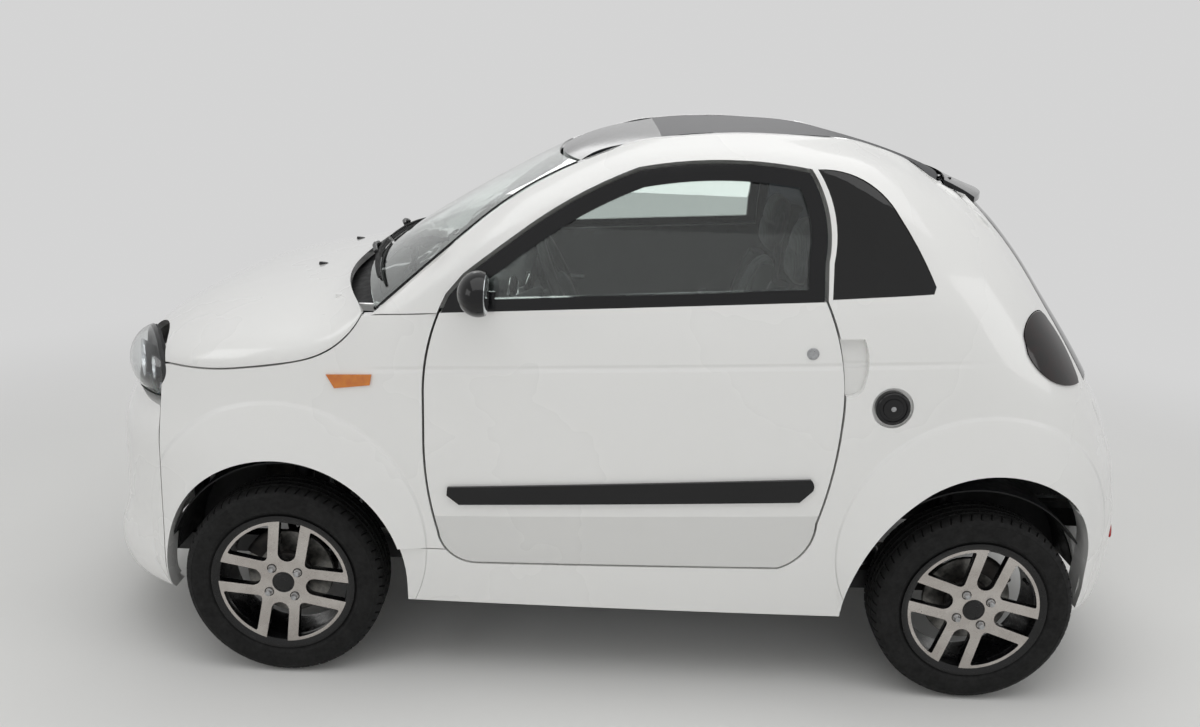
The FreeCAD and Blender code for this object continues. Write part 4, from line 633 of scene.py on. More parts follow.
def makeWheelFittings(corner, centre):
    # Bolts on their circle, a domed cap, a valve and a brake disc turn with the wheel; the calliper stays
    shape = wheelShape
    side = math.copysign(1, centre[1])
    end, hand = corner.split("_")

    def onFace(part, spot, around, start=0.0):
        return turnedGrid(np.array(wheelSections[part]) + (0, shape["face"]), spot, side, around, start)

    grids = [(onFace("cap", centre, 48), 0)]
    lean = math.radians(shape["lean"][end])
    for k in range(4):
        a = lean + math.pi / 4 + k * math.pi / 2
        spot = toWheel(shape["boltCircle"] * np.array([math.cos(a), math.sin(a), 0.0]), centre)
        grids += [(onFace("boltSeat", spot, 24), 0), (onFace("bolt", spot, 6, a), 1)]
    a = lean + math.pi / 4
    radius, inner, outer = shape["stem"]
    stem = np.array([(radius * math.cos(a), radius * math.sin(a), d) for d in np.linspace(inner, outer, 5)])
    grids.append((tubeGrid(toWheel(stem, centre), (0.0042, 0.0042), (1, 0, 0), 12, 2, shape["stemTaper"]), 2))
    gridPiece("cap_and_bolts_" + corner, grids, "wheel_" + corner, [wheelBlack, zincBolt, tyreRubber])
    grids = [(turnedGrid(wheelSections[part], centre, side, 72), mark, True) for mark,
             part in enumerate(("disc", "hat"))]
    gridPiece("brake_disc_" + corner, grids, "wheel_" + corner, [discIron, castIron])
    sweep = math.radians(shape["calliperSweep"])
    start = math.radians(shape["calliper"][end]) - sweep / 2
    rings = np.swapaxes(turnedGrid(wheelSections["calliper"], centre, side, 16, start, sweep), 0, 1)
    carrier = "knuckle_" + hand if end == "front" else "body"
    gridPiece("calliper_" + corner, [(capped(rings), 0)], carrier, [castIron])


for corner, centre in corners.items():
    makeRim(corner, centre)
    makeWheelFittings(corner, centre)
print("stage: wheel fittings made")

# The lamp's middle, turn about Z and half sizes. Its tub is in steps of (share of the outline, backward
# distance); bowls are sections of (radius, forward distance), the large one and the small one set apart.
lampShape = {"middle": (-1.252, -0.462, 0.826), "turn": 29, "half": (0.092, 0.172, 0.098), "cutAt": 0.02,
             "inner": 0.965,
             "tub": [(0.0, -0.018), (0.5, -0.018), (0.86, -0.02), (0.915, -0.026), (0.935, -0.03),
                     (0.945, -0.022), (0.945, -0.012), (0.0, -0.008)],
             "boss": (-0.01, 0.05, 0.02), "large": 0.022, "small": -0.088,
             "largeBowl": [(0.0, 0.02), (0.012, 0.0202), (0.03, 0.026), (0.044, 0.04), (0.051, 0.056),
                           (0.054, 0.056), (0.054, 0.052), (0.03, 0.019), (0.0, 0.0185)],
             "smallBowl": [(0.0, 0.02), (0.008, 0.0202), (0.022, 0.028), (0.03, 0.042), (0.033, 0.042),
                           (0.033, 0.039), (0.022, 0.021), (0.0, 0.0185)],
             "ball": [(0.0, 0.052), (0.01, 0.0505), (0.019, 0.045), (0.0235, 0.036), (0.0235, 0.03),
                      (0.0, 0.03)],
             "bulb": [(0.0, 0.04), (0.004, 0.039), (0.006, 0.034), (0.006, 0.021), (0.0, 0.021)],
             "guide": (-0.031, 0.89, 0.87), "guideArc": (200, 335)}


def lampPlace(back, across, up, side):
    # From the lamp's own frame to the car's, for numbers or arrays
    local = np.stack(np.broadcast_arrays(back, across, up), -1)
    t = math.radians(lampShape["turn"])
    turn = np.array([[math.cos(t), -math.sin(t), 0], [math.sin(t), math.cos(t), 0], [0, 0, 1]])
    return (local @ turn.T + np.array(lampShape["middle"])) * (1, -side, 1)


def eggRings(scale, side, first, last, rows=20, around=64):
    # Rings of the lamp's egg; first and last are angles from its forward axis in degrees
    a = np.radians(np.linspace(first, last, rows))[:, None]
    b = 2 * np.pi * np.arange(around) / around
    half = np.array(lampShape["half"]) * scale
    across, up = half[1] * np.sin(a) * np.cos(b), half[2] * np.sin(a) * np.sin(b)
    return lampPlace(-half[0] * np.cos(a), across, up, side)


def ovalRings(steps, side, around=64):
    # Flat ovals of the lamp's outline: each step is a share of its size and a backward distance
    b = 2 * np.pi * np.arange(around) / around
    share, back = np.asarray(steps, float).T[..., None]
    half = lampShape["half"]
    return lampPlace(back, half[1] * share * np.cos(b), half[2] * share * np.sin(b), side)


def lampBowl(part, spot, side, around=40):
    # A turned bowl about a line parallel to the lamp's axis
    b = 2 * np.pi * np.arange(around) / around
    radius, ahead = np.asarray(lampShape[part], float).T[..., None]
    return lampPlace(-ahead, lampShape[spot] + radius * np.cos(b), radius * np.sin(b), side)


def makeHeadlamp(side, word):
    # A thin clear shell over a black tub, with two bright bowls, a projector and a light guide in it
    shape = lampShape
    half = shape["half"]
    edge = math.degrees(math.acos(shape["cutAt"] / half[0]))
    shell = np.concatenate([eggRings(1.0, side, 0, edge), eggRings(shape["inner"], side, edge - 0.6, 0)])
    lens = gridPiece("headlamp_lens_" + word, [(shell, 0)], "body", [lampGlass])
    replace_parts(lens, "headlamps")
    front, rear, across = shape["boss"]
    boss = tubeGrid(lampPlace(np.linspace(front, rear, 6), across, 0.0, side), (0.012, 0.012))
    gridPiece("headlamp_tub_" + word, [(ovalRings(shape["tub"], side), 0), (boss, 0)], "body",
              [grainedPlastic])
    grids = [(lampBowl("largeBowl", "large", side), 0), (lampBowl("smallBowl", "small", side), 0),
             (lampBowl("ball", "large", side), 1), (lampBowl("bulb", "small", side, 16), 1)]
    gridPiece("headlamp_bowls_" + word, grids, "body", [reflector, lampGlass])
    b = np.radians(np.linspace(*shape["guideArc"], 40))
    back, wide, high = shape["guide"]
    guide = lampPlace(back, half[1] * wide * np.cos(b), half[2] * high * np.sin(b), side)
    gridPiece("light_guide_" + word, [(tubeGrid(guide, (0.0035, 0.0035), (1, 0.3, 0)), 0)], "body",
              [frostedGuide])


for side, word in sides:
    makeHeadlamp(side, word)
print("stage: lamps made")

seatShape = {"y": 0.3, "bolster": 0.188, "voxel": 0.006, "frames": 20, "pressure": 4.0,
             "fill": 0.75, "bolsterFill": 0.85,
             # Each pad's half sizes, middle over x and z, lean, seams as (0 along or 1 across, offset),
             # and the cap on its free movement
             "pads": {"cushion": ((0.215, 0.165, 0.052), (0.245, 0.548), -5,
                                  [(0, -0.075), (0, 0.075), (1, -0.07), (1, 0.08)], 0.01),
                      "back": ((0.24, 0.15, 0.042), (0.442, 0.825), -73,
                               [(0, -0.07), (0, 0.07), (1, -0.09), (1, 0.06)], 0.008),
                      "head": ((0.09, 0.125, 0.036), (0.523, 1.17), -78, [(1, 0.0)], 0.006)},
             "channel": (0.006, 0.006, 0.02),
             # Rolls beside the pads as x, distance inwards and z, with half sizes, upright and end taper
             "rolls": {"bolster": ([(0.045, 0, 0.535), (0.12, 0, 0.562), (0.25, 0, 0.572),
                                    (0.36, 0, 0.566), (0.425, 0, 0.556)],
                                   (0.04, 0.04), (0, 0, 1), 0.5),
                       "wing": ([(0.405, 0, 0.6), (0.412, 0.004, 0.7), (0.44, 0.006, 0.84),
                                 (0.474, 0.016, 0.97), (0.49, 0.034, 1.045)],
                                (0.036, 0.042), (1, 0, 0), 0.45)},
             # The shell follows the seat's side profile; its half width changes with height
             "profile": [(0.06, 0, 0.475), (0.25, 0, 0.462), (0.42, 0, 0.468), (0.478, 0, 0.53),
                         (0.492, 0, 0.7), (0.515, 0, 0.9), (0.538, 0, 1.06), (0.553, 0, 1.17),
                         (0.56, 0, 1.225)],
             "heights": (0.46, 0.9, 1.03, 1.1, 1.22), "widths": (0.222, 0.222, 0.2, 0.118, 0.1),
             "curl": 0.03, "thick": 0.005}


def padGrid(half, power=(4.0, 2.6), rows=34, around=72):
    # A closed pad: a superellipse in plan, and another from its lower to its upper pole
    v = np.radians(np.linspace(-90, 90, rows))[:, None]
    u = 2 * np.pi * np.arange(around) / around

    def bend(value, p):
        return np.sign(value) * np.abs(value) ** (2 / p)
    x = half[0] * bend(np.cos(v), power[1]) * bend(np.cos(u), power[0])
    y = half[1] * bend(np.cos(v), power[1]) * bend(np.sin(u), power[0])
    z = half[2] * bend(np.sin(v), power[1]) * np.ones_like(u)
    return np.stack([x, y, z], -1)


def placePad(points, middle, lean):
    # Leans a pad back, then moves its middle into place
    return points @ leanTurn(lean).T + np.array(middle)


def plumpPad(piece, cap):
    # Remesh, blow up as cloth with its free movement capped, and smooth
    bpy.context.view_layer.objects.active = piece
    piece.select_set(True)
    remesh = piece.modifiers.new("remesh", "REMESH")
    remesh.mode, remesh.voxel_size = "VOXEL", seatShape["voxel"]
    bpy.ops.object.modifier_apply(modifier=remesh.name)
    before = readPoints(piece.data)
    cloth = piece.modifiers.new("cloth", "CLOTH")
    cloth.settings.use_pressure = True
    cloth.settings.uniform_pressure_force = seatShape["pressure"]
    cloth.settings.effector_weights.gravity = 0
    cloth.settings.quality = 4
    scene = bpy.context.scene
    for number in range(1, seatShape["frames"] + 1):
        scene.frame_set(number)
    moved = readPoints(piece.evaluated_get(bpy.context.evaluated_depsgraph_get()).data) - before
    length = np.linalg.norm(moved, axis=1)[:, None]
    moved = moved * np.minimum(1, cap / np.maximum(length, 1e-9))
    piece.modifiers.remove(cloth)
    scene.frame_set(1)
    piece.data.vertices.foreach_set("co", (before + moved).ravel())
    piece.data.polygons.foreach_set("use_smooth", np.ones(len(piece.data.polygons), bool))
    smooth = piece.modifiers.new("smooth", "SMOOTH")
    smooth.iterations, smooth.factor = 3, 0.5
    bpy.ops.object.modifier_apply(modifier=smooth.name)
    piece.select_set(False)


def sewChannels(piece, places, middle, lean):
    # Presses straight sewn channels into a pad: each place is a direction (0 along, 1 across) and an offset
    turn = leanTurn(-lean)
    local = (readPoints(piece.data) - np.array(middle)) @ turn.T
    depth, width, rise = seatShape["channel"]
    top = np.clip(local[:, 2] / rise, 0, 1)
    press = np.zeros(len(local))
    for direction, offset in places:
        press = np.maximum(press, np.exp(-((local[:, 1 - direction] - offset) / width) ** 2))
    local[:, 2] -= depth * press * top
    piece.data.vertices.foreach_set("co", (local @ turn + np.array(middle)).ravel())
    piece.data.update()


def makeSeat(side, word):
    # Cushion, back and head pad in cloth with sewn channels, bolsters beside them, and a moulded back shell
    y = side * seatShape["y"]
    for part, (half, (x, z), lean, seams, cap) in seatShape["pads"].items():
        middle = (x, y, z)
        pad = gridPiece("seat_%s_%s" % (part, word), [(placePad(padGrid(half), middle, lean), 0)], "body",
                        [wovenCloth])
        plumpPad(pad, cap)
        sewChannels(pad, seams, middle, lean)
        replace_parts(pad, "seats")
    for way in (-1, 1):
        edge = y + way * seatShape["bolster"]
        for part, (points, across, upright, last) in seatShape["rolls"].items():
            points = [(x, edge - way * inward, z) for x, inward, z in points]
            taper = np.sin(np.linspace(0.45, math.pi - last, 30)) ** 0.5
            roll = tubeGrid(smoothLine(points, 30), across, upright, 24, 2.4, taper)
            name = "seat_%s_%s_%s" % (part, word, "in" if way * side < 0 else "out")
            gridPiece(name, [(roll, 0)], "body", [leather])
    line = smoothLine(seatShape["profile"], 60)
    wide = np.interp(line[:, 2], seatShape["heights"], seatShape["widths"])
    t = np.linspace(-1, 1, 25)
    curl = seatShape["curl"] * np.abs(t) ** 4
    ahead = np.gradient(line, axis=0)
    ahead /= np.linalg.norm(ahead, axis=1)[:, None]
    inward = np.stack([-ahead[:, 2], 0 * ahead[:, 0], ahead[:, 0]], 1)
    front = line[:, None] + curl[None, :, None] * inward[:, None]
    front[..., 1] += wide[:, None] * t + y
    rear = front - seatShape["thick"] * inward[:, None]
    wrap = np.concatenate([front, rear[:, ::-1]], 1)
    gridPiece("seat_shell_" + word, [(capped(wrap), 0)], "body", [cabinPlastic])


for side, word in sides:
    makeSeat(side, word)
print("stage: seats made")


def lining(name, source, facing, least, thick, body, finish, low=(-9, -9, -9), high=(9, 9, 9)):
    # The faces of a CAD node that look a given way, lifted off it as a sheet with its own thickness
    mesh = nodes[source].data
    co = readPoints(mesh)
    tri = np.empty(len(mesh.loops), np.int32)
    mesh.loops.foreach_get("vertex_index", tri)
    tri = tri.reshape(-1, 3)
    across = np.cross(co[tri[:, 1]] - co[tri[:, 0]], co[tri[:, 2]] - co[tri[:, 0]])
    across /= np.maximum(np.linalg.norm(across, axis=1), 1e-12)[:, None]
    middle = co[tri].mean(1)
    keep = (across @ np.array(facing, float) > least) & (middle > low).all(1) & (middle < high).all(1)
    points, index = np.unique(np.round(co[tri[keep]].reshape(-1, 3), 6), axis=0, return_inverse=True)
    sheet = bpy.data.meshes.new(name)
    sheet.from_pydata((points + meshing["liningLift"] * np.array(facing)).tolist(), [],
                      index.reshape(-1, 3).tolist())
    sheet.polygons.foreach_set("use_smooth", np.ones(len(sheet.polygons), bool))
    sheet.set_sharp_from_angle(angle=math.radians(meshing["liningSharp"]))
    sheet.materials.append(finish)
    solid = showPiece(name, sheet, body).modifiers.new("thick", "SOLIDIFY")
    solid.thickness, solid.offset = thick, 1


for side, word in sides:
    inward = (0, -side, 0)
    lining("door_card_" + word, "door_panel_" + word, inward, 0.5, 0.004, "door_" + word, cabinPlastic)
    lining("side_trim_" + word, "body_side_" + word, inward, 0.4, 0.003, "body", cabinPlastic,
           (-0.66, -9, 0.26), (0.96, 9, 1.5))
lining("headliner", "roof_panel", (0, 0, -1), 0.5, 0.004, "body", headCloth, (-0.2, -9, 1.2),
       (0.9, 9, 1.6))
lining("floor_carpet", "floor_pan", (0, 0, 1), 0.5, 0.006, "body", carpet, (-0.55, -9, 0.24),
       (1.4, 9, 0.52))
lining("footwell_mat", "floor_pan", (1, 0, 0), 0.5, 0.006, "body", carpet, (-0.56, -9, 0.24),
       (0.58, 9, 0.9))
print("stage: linings made")

# The glass from the middle of the car out: each row is its middle line's x and z, then its edge's
screenShape = {"lines": np.array([(-0.706, 1.099, -0.604, 1.049), (-0.54, 1.212, -0.447, 1.189),
                                  (-0.372, 1.31, -0.291, 1.319), (-0.182, 1.412, -0.113, 1.419)]),
               "half": 0.712, "bow": 2.4, "normal": (-0.65, 0, 0.76)}


def onScreen(y, s, lift):
    # A point above the windscreen: y across the car, s from 0 at its foot to 1 at its top
    row = np.array([np.interp(np.asarray(s) * 3, range(4), screenShape["lines"][:, k]) for k in range(4)])
    t = (np.abs(y) / screenShape["half"]) ** screenShape["bow"]
    away = screenShape["normal"]
    return np.stack([row[2] + (row[0] - row[2]) * (1 - t) + away[0] * lift, np.asarray(y) * np.ones_like(t),
                     row[3] + (row[1] - row[3]) * (1 - t) + away[2] * lift], -1)


# Blades as y and s at both ends, arms as y at the pivot and at the blade; strips as lift, size and corners
wiperShape = {"blades": [(-0.6, -0.08, 0.065, 0.03), (-0.03, 0.44, 0.03, 0.055)],
              "pivots": [(-0.07, -0.34), (0.42, 0.18)],
              "rubber": (0.0125, (0.0022, 0.0055), 8), "spine": (0.0205, (0.0065, 0.0035), 10),
              "arm": (0.008, 0.005), "armLift": 0.03, "pivotAt": (-0.738, 1.092), "rise": 0.014}


def makeWipers():
    # Each blade is a rubber strip under a spine on the glass; an arm runs to it from its pivot on the cowl
    grids = []
    away, rise = screenShape["normal"], wiperShape["rise"]
    for (y0, y1, s0, s1), (pivot, tip) in zip(wiperShape["blades"], wiperShape["pivots"]):
        y, s = np.linspace(y0, y1, 30), np.linspace(s0, s1, 30)
        bow = 0.55 + 0.45 * np.sin(np.linspace(0, math.pi, 30)) ** 0.5
        for part, taper in (("rubber", None), ("spine", bow)):
            lift, size, around = wiperShape[part]
            grids.append((tubeGrid(onScreen(y, s, lift), size, away, around, 3, taper), 0))
        root = np.array([wiperShape["pivotAt"][0], pivot, wiperShape["pivotAt"][1]])
        there = onScreen(np.array([tip]), np.array([np.interp(tip, (y0, y1), (s0, s1))]),
                         wiperShape["armLift"])[0]
        line = smoothLine([root + (0, 0, rise), root * 0.55 + there * 0.45 + (-0.006, 0, rise), there], 24)
        grids.append((tubeGrid(line, wiperShape["arm"], away, 10, 3, np.linspace(1.3, 0.6, 24)), 1))
        post = np.linspace(root - (0, 0, rise), root + (0, 0, 0.018), 6)
        grids.append((tubeGrid(post, (0.012, 0.012), (0, 1, 0), 20, 2), 1))
    gridPiece("wipers", grids, "body", [tyreRubber, coatedSteel])


makeWipers()
print("stage: wipers made")


def discGrid(base, along, half, steps, upright=(0, 0, 1), around=40):
    # Ovals about an axis from base: each step is a share of the half sizes and a distance along the axis
    along, upright = np.asarray(along, float), np.asarray(upright, float)
    along = along / np.linalg.norm(along)
    right = np.cross(upright, along)
    right = right / np.linalg.norm(right)
    up = np.cross(along, right)
    a = 2 * np.pi * (np.arange(around) + 0.5) / around
    share, out = np.asarray(steps, float).T
    ring = half[0] * np.cos(a)[:, None] * right + half[1] * np.sin(a)[:, None] * up
    return np.asarray(base, float) + share[:, None, None] * ring[None] + out[:, None, None] * along


def seat(source, start, toward):
    # Where a straight line first meets a CAD node, so that a fitting sits on its skin
    hit, place, normal, index = nodes[source].ray_cast(Vector(start), Vector(toward))
    assert hit, "no skin of %s on this line" % source
    return np.array(place)


# Turned and oval fittings in steps of (share of the half size, distance outwards)
fittings = {"lock": [(0.0, -0.002), (1.0, -0.002), (1.0, 0.0022), (0.87, 0.0036), (0.8, 0.0036),
                     (0.77, 0.0024), (0.0, 0.0024)],
            "fuelCap": [(0.0, 0.0), (0.93, 0.0), (0.93, 0.0016), (0.89, 0.003), (0.8, 0.003), (0.77, 0.0006),
                        (0.6, 0.0006), (0.57, 0.004), (0.5, 0.0052), (0.0, 0.0056)],
            "key": [(0.0, 0.004), (1.0, 0.004), (1.0, 0.0066), (0.8, 0.0072), (0.0, 0.0072)],
            "mirror": [(0.0, -0.004), (1.0, -0.004), (1.0, 0.0016), (0.96, 0.0024), (0.6, 0.0029),
                       (0.0, 0.0031)],
            "button": [(0.0, -0.003), (1.0, -0.003), (1.0, 0.003), (0.9, 0.0045), (0.0, 0.005)],
            "bezel": [(0.0, -0.004), (1.0, -0.004), (1.0, 0.003), (0.95, 0.005), (0.88, 0.005), (0.85, 0.002),
                      (0.0, 0.002)],
            "wheelPad": [(0.0, -0.036), (0.86, -0.036), (0.97, -0.026), (1.0, -0.004), (0.97, 0.01),
                         (0.85, 0.019), (0.55, 0.0245), (0.0, 0.026)],
            "shroud": [(0.0, -0.058), (0.85, -0.058), (1.0, -0.066), (1.0, -0.15), (1.1, -0.24),
                       (0.0, -0.245)],
            "vent": [(0.0, -0.006), (1.0, -0.006), (1.0, 0.006), (0.94, 0.01), (0.86, 0.01), (0.83, 0.002),
                     (0.0, 0.002)],
            "knob": [(0.0, 0.0), (1.0, 0.0), (0.94, 0.014), (0.85, 0.018), (0.0, 0.018)],
            "gaiter": [(0.0, 0.0), (1.0, 0.0), (0.8, 0.01), (0.62, 0.02), (0.44, 0.036), (0.24, 0.052),
                       (0.0, 0.053)],
            "selector": [(0.0, 0.0), (0.6, 0.0), (0.9, 0.012), (1.0, 0.028), (0.86, 0.044), (0.0, 0.052)],
            "speaker": [(0.0, -0.004), (1.0, -0.004), (1.0, 0.003), (0.95, 0.007), (0.88, 0.007),
                        (0.85, 0.003), (0.5, 0.006), (0.0, 0.007)]}

# Where each fitting sits: lock, mirror and cap over x and z, reflector over y and z, jet over x and y
sidePlaces = {"lock": (0.496, 0.98), "lockHalf": (0.0155, 0.0155), "mirror": (-0.3184, 1.117),
              "mirrorHalf": (0.058, 0.048), "mirrorIn": 0.0675,
              "reflector": ((0.415, 0.455, 0.495), 0.42), "reflectorHalf": (0.04, 0.016),
              "jet": (-0.86, 0.24), "jetHalf": (0.009, 0.014),
              "cap": (0.71, 0.846), "capHalf": (0.044, 0.044), "keyHalf": (0.0065, 0.0065)}


def makeSideFittings(side, word):
    # Door lock, mirror glass, a reflector at each rear corner and a washer jet
    at = sidePlaces
    x, z = at["lock"]
    spot = seat("door_panel_" + word, (x, side, z), (0, -side, 0))
    lock = discGrid(spot, (0, side, 0), at["lockHalf"], fittings["lock"])
    gridPiece("door_lock_" + word, [(lock, 0)], "door_" + word, [zincBolt])
    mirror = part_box("door_frame_" + word)
    reach = min(mirror[0][1], mirror[1][1]) if side < 0 else max(mirror[0][1], mirror[1][1])
    x, z = at["mirror"]
    glass = discGrid((x, reach - side * at["mirrorIn"], z), (1, 0, 0), at["mirrorHalf"], fittings["mirror"],
                     around=56)
    gridPiece("mirror_glass_" + word, [(glass, 0)], "door_" + word, [mirrorGlass])
    across, z = at["reflector"]
    inner, spot, outer = [seat("rear_bumper", (2.0, side * y, z), (-1, 0, 0)) for y in across]
    facing = (abs(outer[1] - inner[1]), side * (inner[0] - outer[0]), 0)
    gridPiece("rear_reflector_" + word,
              [(discGrid(spot, facing, at["reflectorHalf"], fittings["button"], around=48), 0)],
              "body", [redReflex])
    x, y = at["jet"]
    spot = seat("bonnet", (x, side * y, 2.0), (0, 0, -1))
    gridPiece("washer_jet_" + word,
              [(discGrid(spot, (0.1, 0, 1), at["jetHalf"], fittings["button"], (1, 0, 0)), 0)],
              "bonnet", [grainedPlastic])


for side, word in sides:
    makeSideFittings(side, word)
capX, capZ = sidePlaces["cap"]
capSpot = seat("fuel_cap", (capX, -1.0, capZ), (0, 1, 0))
capGrids = [(discGrid(capSpot, (0, -1, 0), sidePlaces["capHalf"], fittings["fuelCap"], around=56), 0),
            (discGrid(capSpot, (0, -1, 0), sidePlaces["keyHalf"], fittings["key"]), 1)]
gridPiece("fuel_cap_grip", capGrids, "body", [pianoBlack, zincBolt])
print("stage: side fittings made")

cabin = {"wheel": (-0.15, -0.3, 1.03), "tilt": 65, "spoke": (0.09, 0.163), "stalk": 0.15,
         "face": (1, 0, 0.12), "hood": (-0.375, -0.3, 1.036), "hoodHalf": (0.08, 0.15, 0.036),
         "hoodPower": (3.0, 2.4), "dial": (-0.3, -0.3, 1.03), "dialHalf": (0.12, 0.03),
         # Vents as y, z and radius
         "vents": [(-0.535, 0.945, 0.04), (0.535, 0.945, 0.04), (-0.125, 0.965, 0.034),
                   (0.125, 0.965, 0.034)],
         "screen": (0.082, 0.948), "knobs": (-0.055, 0.0, 0.055), "lid": (0.19, 0.47, 0.858),
         "console": ((-0.29, 0, 0.33), (0.19, 0, 0.33)), "gaiter": (-0.15, 0.0, 0.402),
         "stick": ((-0.148, 0, 0.43), (-0.132, 0, 0.54)), "selector": (-0.133, 0, 0.53),
         "brake": [(0.15, 0.0, 0.395), (0.06, 0.0, 0.425), (-0.04, 0.0, 0.462)],
         # Pedals as y and half width, with the arm and plate over x and z
         "pedals": [(-0.375, 0.024), (-0.3, 0.034), (-0.215, 0.024)],
         "pedalArm": [(-0.505, 0.64), (-0.47, 0.52), (-0.455, 0.4)],
         "pedalPlate": [(-0.447, 0.35), (-0.429, 0.425)]}
# On the right side; the left one is its mirror image
beltShape = {"webbing": [(0.64, 0.638, 1.165), (0.632, 0.648, 1.05), (0.618, 0.655, 0.9), (0.6, 0.655, 0.7),
                         (0.59, 0.652, 0.5)],
             "guide": (0.641, 0.645, 1.172), "tongue": [(0.617, 0.65, 0.875), (0.614, 0.65, 0.915)],
             "buckle": [(0.33, 0.06, 0.4), (0.318, 0.062, 0.48), (0.3, 0.066, 0.56)]}
# Points on a door's card as x, z and how far they stand off it
cardShape = {"rest": [(-0.25, 0.8, 0.01), (-0.13, 0.775, 0.034), (0.08, 0.775, 0.04), (0.26, 0.8, 0.028),
                      (0.345, 0.84, 0.008)],
             "speaker": (-0.18, 0.56, 0.006), "speakerHalf": (0.082, 0.082),
             "lever": [(-0.225, 0.885, 0.014), (-0.18, 0.888, 0.022), (-0.12, 0.886, 0.017)]}


def tapers(*parts):
    # Sizes along a tube, each part running from one value to another over its count
    return np.concatenate([np.linspace(*part) for part in parts])


def makeSteering():
    # Pad and spoke covers turn with the wheel; the shroud and its stalks stay on the column
    hub = np.array(cabin["wheel"])
    t = math.radians(cabin["tilt"])
    axis = np.array([math.sin(t), 0, math.cos(t)])
    up = np.array([-math.cos(t), 0, math.sin(t)])
    across = np.array([0.0, 1.0, 0.0])
    grids = [(discGrid(hub, axis, (0.064, 0.056), fittings["wheelPad"], up, 56), 0)]
    near, far = cabin["spoke"]
    for way in (across, -across, -up):
        line = smoothLine([hub - axis * 0.006, hub + way * near - axis * 0.012,
                           hub + way * far - axis * 0.001], 16)
        grids.append((tubeGrid(line, (0.019, 0.0085), axis, 20, 3, np.linspace(1.15, 0.8, 16)), 1))
    gridPiece("steering_wheel_pad", grids, "steering_wheel", [cabinPlastic, wheelBlack])
    grids = [(discGrid(hub - up * 0.012, axis, (0.048, 0.052), fittings["shroud"], up, 48), 0)]
    for way in (-1, 1):
        root = hub - axis * 0.095 + up * 0.01
        stalk = smoothLine([root, root + across * way * 0.08,
                            root + across * way * cabin["stalk"] + axis * 0.012], 14)
        sizes = tapers((0.8, 0.8, 9), (1.2, 1.4, 5))
        grids.append((tubeGrid(stalk, (0.0075, 0.0055), axis, 16, 2, sizes), 0))
    gridPiece("column_shroud", grids, "body", [cabinPlastic])


def makeDash():
    # Instrument hood and its oval face, a centre screen over knobs, four round vents and a glovebox lid
    hood = padGrid(cabin["hoodHalf"], cabin["hoodPower"], 20, 56)
    grids = [(placePad(hood, cabin["hood"], 0), 0),
             (discGrid(cabin["dial"], (1, 0, 0.35), cabin["dialHalf"], fittings["bezel"], around=64), 2)]
    for y, z, size in cabin["vents"]:
        grids.append((discGrid((-0.287, y, z), cabin["face"], (size, size), fittings["vent"]), 1))
        for turn in (-0.5, 0, 0.5):
            bar = np.linspace((-0.2845, y - size * 0.72, z + size * turn),
                              (-0.2845, y + size * 0.72, z + size * turn), 6)
            grids.append((tubeGrid(bar, (0.004, 0.0022), (0, 0, 1), 8, 2), 0))
    half, z = cabin["screen"]
    screen = np.linspace((-0.2835, -half, z), (-0.2835, half, z), 8)
    grids.append((tubeGrid(screen, (0.006, 0.052), (0, 0, 1), 32, 7), 2))
    for y in cabin["knobs"]:
        grids.append((discGrid((-0.288, y, 0.866), (1, 0, -0.35), (0.019, 0.019), fittings["knob"]), 1))
    inner, outer, z = cabin["lid"]
    lid = np.linspace((-0.3, inner, z), (-0.3, outer, z), 10)
    grids.append((tubeGrid(lid, (0.018, 0.052), (0.25, 0, 1), 36, 8), 0))
    gridPiece("dash_fittings", grids, "body", [cabinPlastic, pianoBlack, screenGlass])


def makeControls():
    # Console with its selector, parking brake, and the pedals' pads on their arms
    grids = [(tubeGrid(np.linspace(*cabin["console"], 12), (0.062, 0.075), (0, 0, 1), 40, 5), 0),
             (discGrid(cabin["gaiter"], (0.1, 0, 1), (0.034, 0.052), fittings["gaiter"], (1, 0, 0), 40), 1),
             (tubeGrid(np.linspace(*cabin["stick"], 8), (0.006, 0.006), (0, 1, 0), 16, 2), 2),
             (discGrid(cabin["selector"], (0.14, 0, 1), (0.021, 0.023), fittings["selector"], (1, 0, 0)), 1),
             (tubeGrid(smoothLine(cabin["brake"], 20), (0.013, 0.013), (0, 0, 1), 20, 2,
                       tapers((0.75, 0.8, 9), (1.25, 1.1, 11))), 1)]
    for y, half in cabin["pedals"]:
        arm = smoothLine([(x, y, z) for x, z in cabin["pedalArm"]], 14)
        plate = np.linspace(*[(x, y, z) for x, z in cabin["pedalPlate"]], 8)
        grids += [(tubeGrid(arm, (0.006, 0.004), (1, 0, 0), 12, 3), 2),
                  (tubeGrid(plate, (half, 0.007), (1, 0, -0.24), 28, 6), 3)]
    gridPiece("cabin_controls", grids, "body", [cabinPlastic, leather, coatedSteel, tyreRubber])


def makeBelt(side, word):
    # Webbing down the pillar through its guide to the sill, with a tongue, and the buckle by the seat
    lines = {part: np.array(points) * (1, side, 1) for part, points in beltShape.items()}
    buckle = smoothLine(lines["buckle"], 14)
    grids = [(tubeGrid(smoothLine(lines["webbing"], 40), (0.023, 0.0011), (0, side, 0), 16, 6), 0),
             (discGrid(lines["guide"], (0, -side, 0), (0.034, 0.018), fittings["button"]), 1),
             (tubeGrid(np.linspace(*lines["tongue"], 6), (0.03, 0.006), (0, side, 0), 20, 5), 1),
             (tubeGrid(buckle, (0.016, 0.01), (0, 1, 0), 20, 5, tapers((0.7, 0.7, 7), (1.15, 1.15, 7))), 1)]
    gridPiece("belt_" + word, grids, "body", [webbing, cabinPlastic])


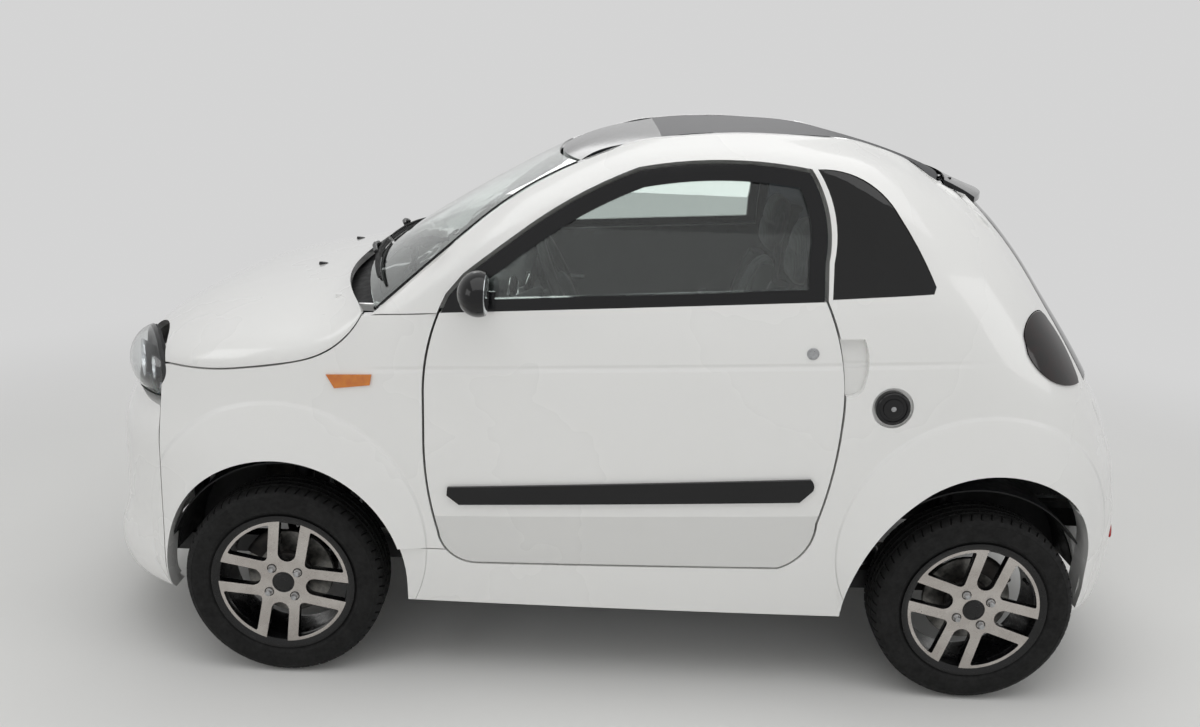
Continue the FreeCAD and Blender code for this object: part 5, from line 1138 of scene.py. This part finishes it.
def makeDoorInner(side, word):
    # Armrest, pull and release lever, and speaker ring on the door's card
    def onCard(x, z, lift):
        return np.array([x, seat("door_panel_" + word, (x, 0, z), (0, side, 0))[1] - side * lift, z])

    rest = smoothLine([onCard(*place) for place in cardShape["rest"]], 30)
    lever = smoothLine([onCard(*place) for place in cardShape["lever"]], 14)
    base, half = onCard(*cardShape["speaker"]), cardShape["speakerHalf"]
    grids = [(tubeGrid(rest, (0.03, 0.022), (0, 0, 1), 28, 3,
                       np.sin(np.linspace(0.5, math.pi - 0.4, 30)) ** 0.4), 1),
             (discGrid(base, (0, -side, 0), half, fittings["speaker"], around=56), 0),
             (tubeGrid(lever, (0.01, 0.006), (0, 0, 1), 16, 3, np.linspace(1.2, 0.8, 14)), 2)]
    gridPiece("door_fittings_" + word, grids, "door_" + word, [cabinPlastic, leather, zincBolt])


makeSteering()
makeDash()
makeControls()
for side, word in sides:
    makeBelt(side, word)
    makeDoorInner(side, word)
print("stage: cabin fittings made")

# Studio: a pale floor, a large soft light above and softer ones about it, and a pale surround
studio = {"floor": ("#E6E6E4", "#E9E9E7"), "surround": (0.66, 0.66, 0.66), "ambient": 0.56,
          "fade": (1.9, 4.6), "half": 30,
          "lights": [((0.3, -1.2, 4.4), (0, 0, 0.5), (6.0, 4.4), 96),
                     ((-4.4, -3.0, 2.6), (0, 0, 0.7), (2.6, 2.0), 24),
                     ((4.6, -2.4, 2.4), (0, 0, 0.7), (2.4, 2.0), 16),
                     ((0, 4.8, 3.2), (0, 0, 0.8), (4.0, 2.0), 40)],
          "fills": [((0.2, -5.4, 1.9), (0, 0, 0.6), (5.0, 2.6), 26),
                    ((0.2, 5.4, 1.9), (0, 0, 0.6), (5.0, 2.6), 30)]}


def backdropFloor():
    # Far from the car the floor takes the surround's own colour for the camera, so no horizon shows
    material = makeFinish("studioFloor", {"Roughness": 0.7, "Specular IOR Level": 0.2}, studio["floor"], 2.0,
                          grain=[("Noise", 0.02, 0.0001)])
    tree, shader, place = nodesOf(material)
    reach = calc(tree, "LENGTH", place, kind="VectorMath")
    share = calc(tree, "MULTIPLY", ease(tree, reach, *studio["fade"]), seenRays(tree))
    glow = addNode(tree, "Emission", {"Color": (*studio["surround"], 1)})
    both = addNode(tree, "MixShader", {}, {0: share, 1: shader.outputs["BSDF"], 2: glow.outputs["Emission"]})
    tree.links.new(both.outputs[0], tree.nodes["Material Output"].inputs["Surface"])
    return material


def makeStudio():
    scene = bpy.context.scene
    mesh = bpy.data.meshes.new("floor")
    half = studio["half"]
    mesh.from_pydata([(-half, -half, 0), (half, -half, 0), (half, half, 0), (-half, half, 0)], [],
                     [(0, 1, 2, 3)])
    mesh.materials.append(backdropFloor())
    floor = bpy.data.objects.new("floor", mesh)
    scene.collection.objects.link(floor)
    world = bpy.data.worlds.new("studio")
    world.use_nodes = True
    scene.world = world
    tree = world.node_tree
    level = addNode(tree, "MapRange", {"To Min": studio["ambient"], "To Max": 1.0}, {"Value": seenRays(tree)})
    background = tree.nodes["Background"]
    background.inputs["Color"].default_value = (*studio["surround"], 1)
    tree.links.new(level.outputs["Result"], background.inputs["Strength"])
    for number, (place, target, size, power) in enumerate(studio["lights"] + studio["fills"]):
        data = bpy.data.lights.new("soft%d" % number, "AREA")
        data.shape, data.size, data.size_y, data.energy = "RECTANGLE", size[0], size[1], power
        lamp = bpy.data.objects.new("soft%d" % number, data)
        lamp.location = place
        lamp.rotation_euler = (Vector(target) - Vector(place)).to_track_quat("-Z", "Y").to_euler()
        lamp.visible_glossy = number < len(studio["lights"])  # a fill leaves no bright square in the glass
        scene.collection.objects.link(lamp)
    scene.view_settings.view_transform = "Standard"


makeStudio()
print("stage: studio made")
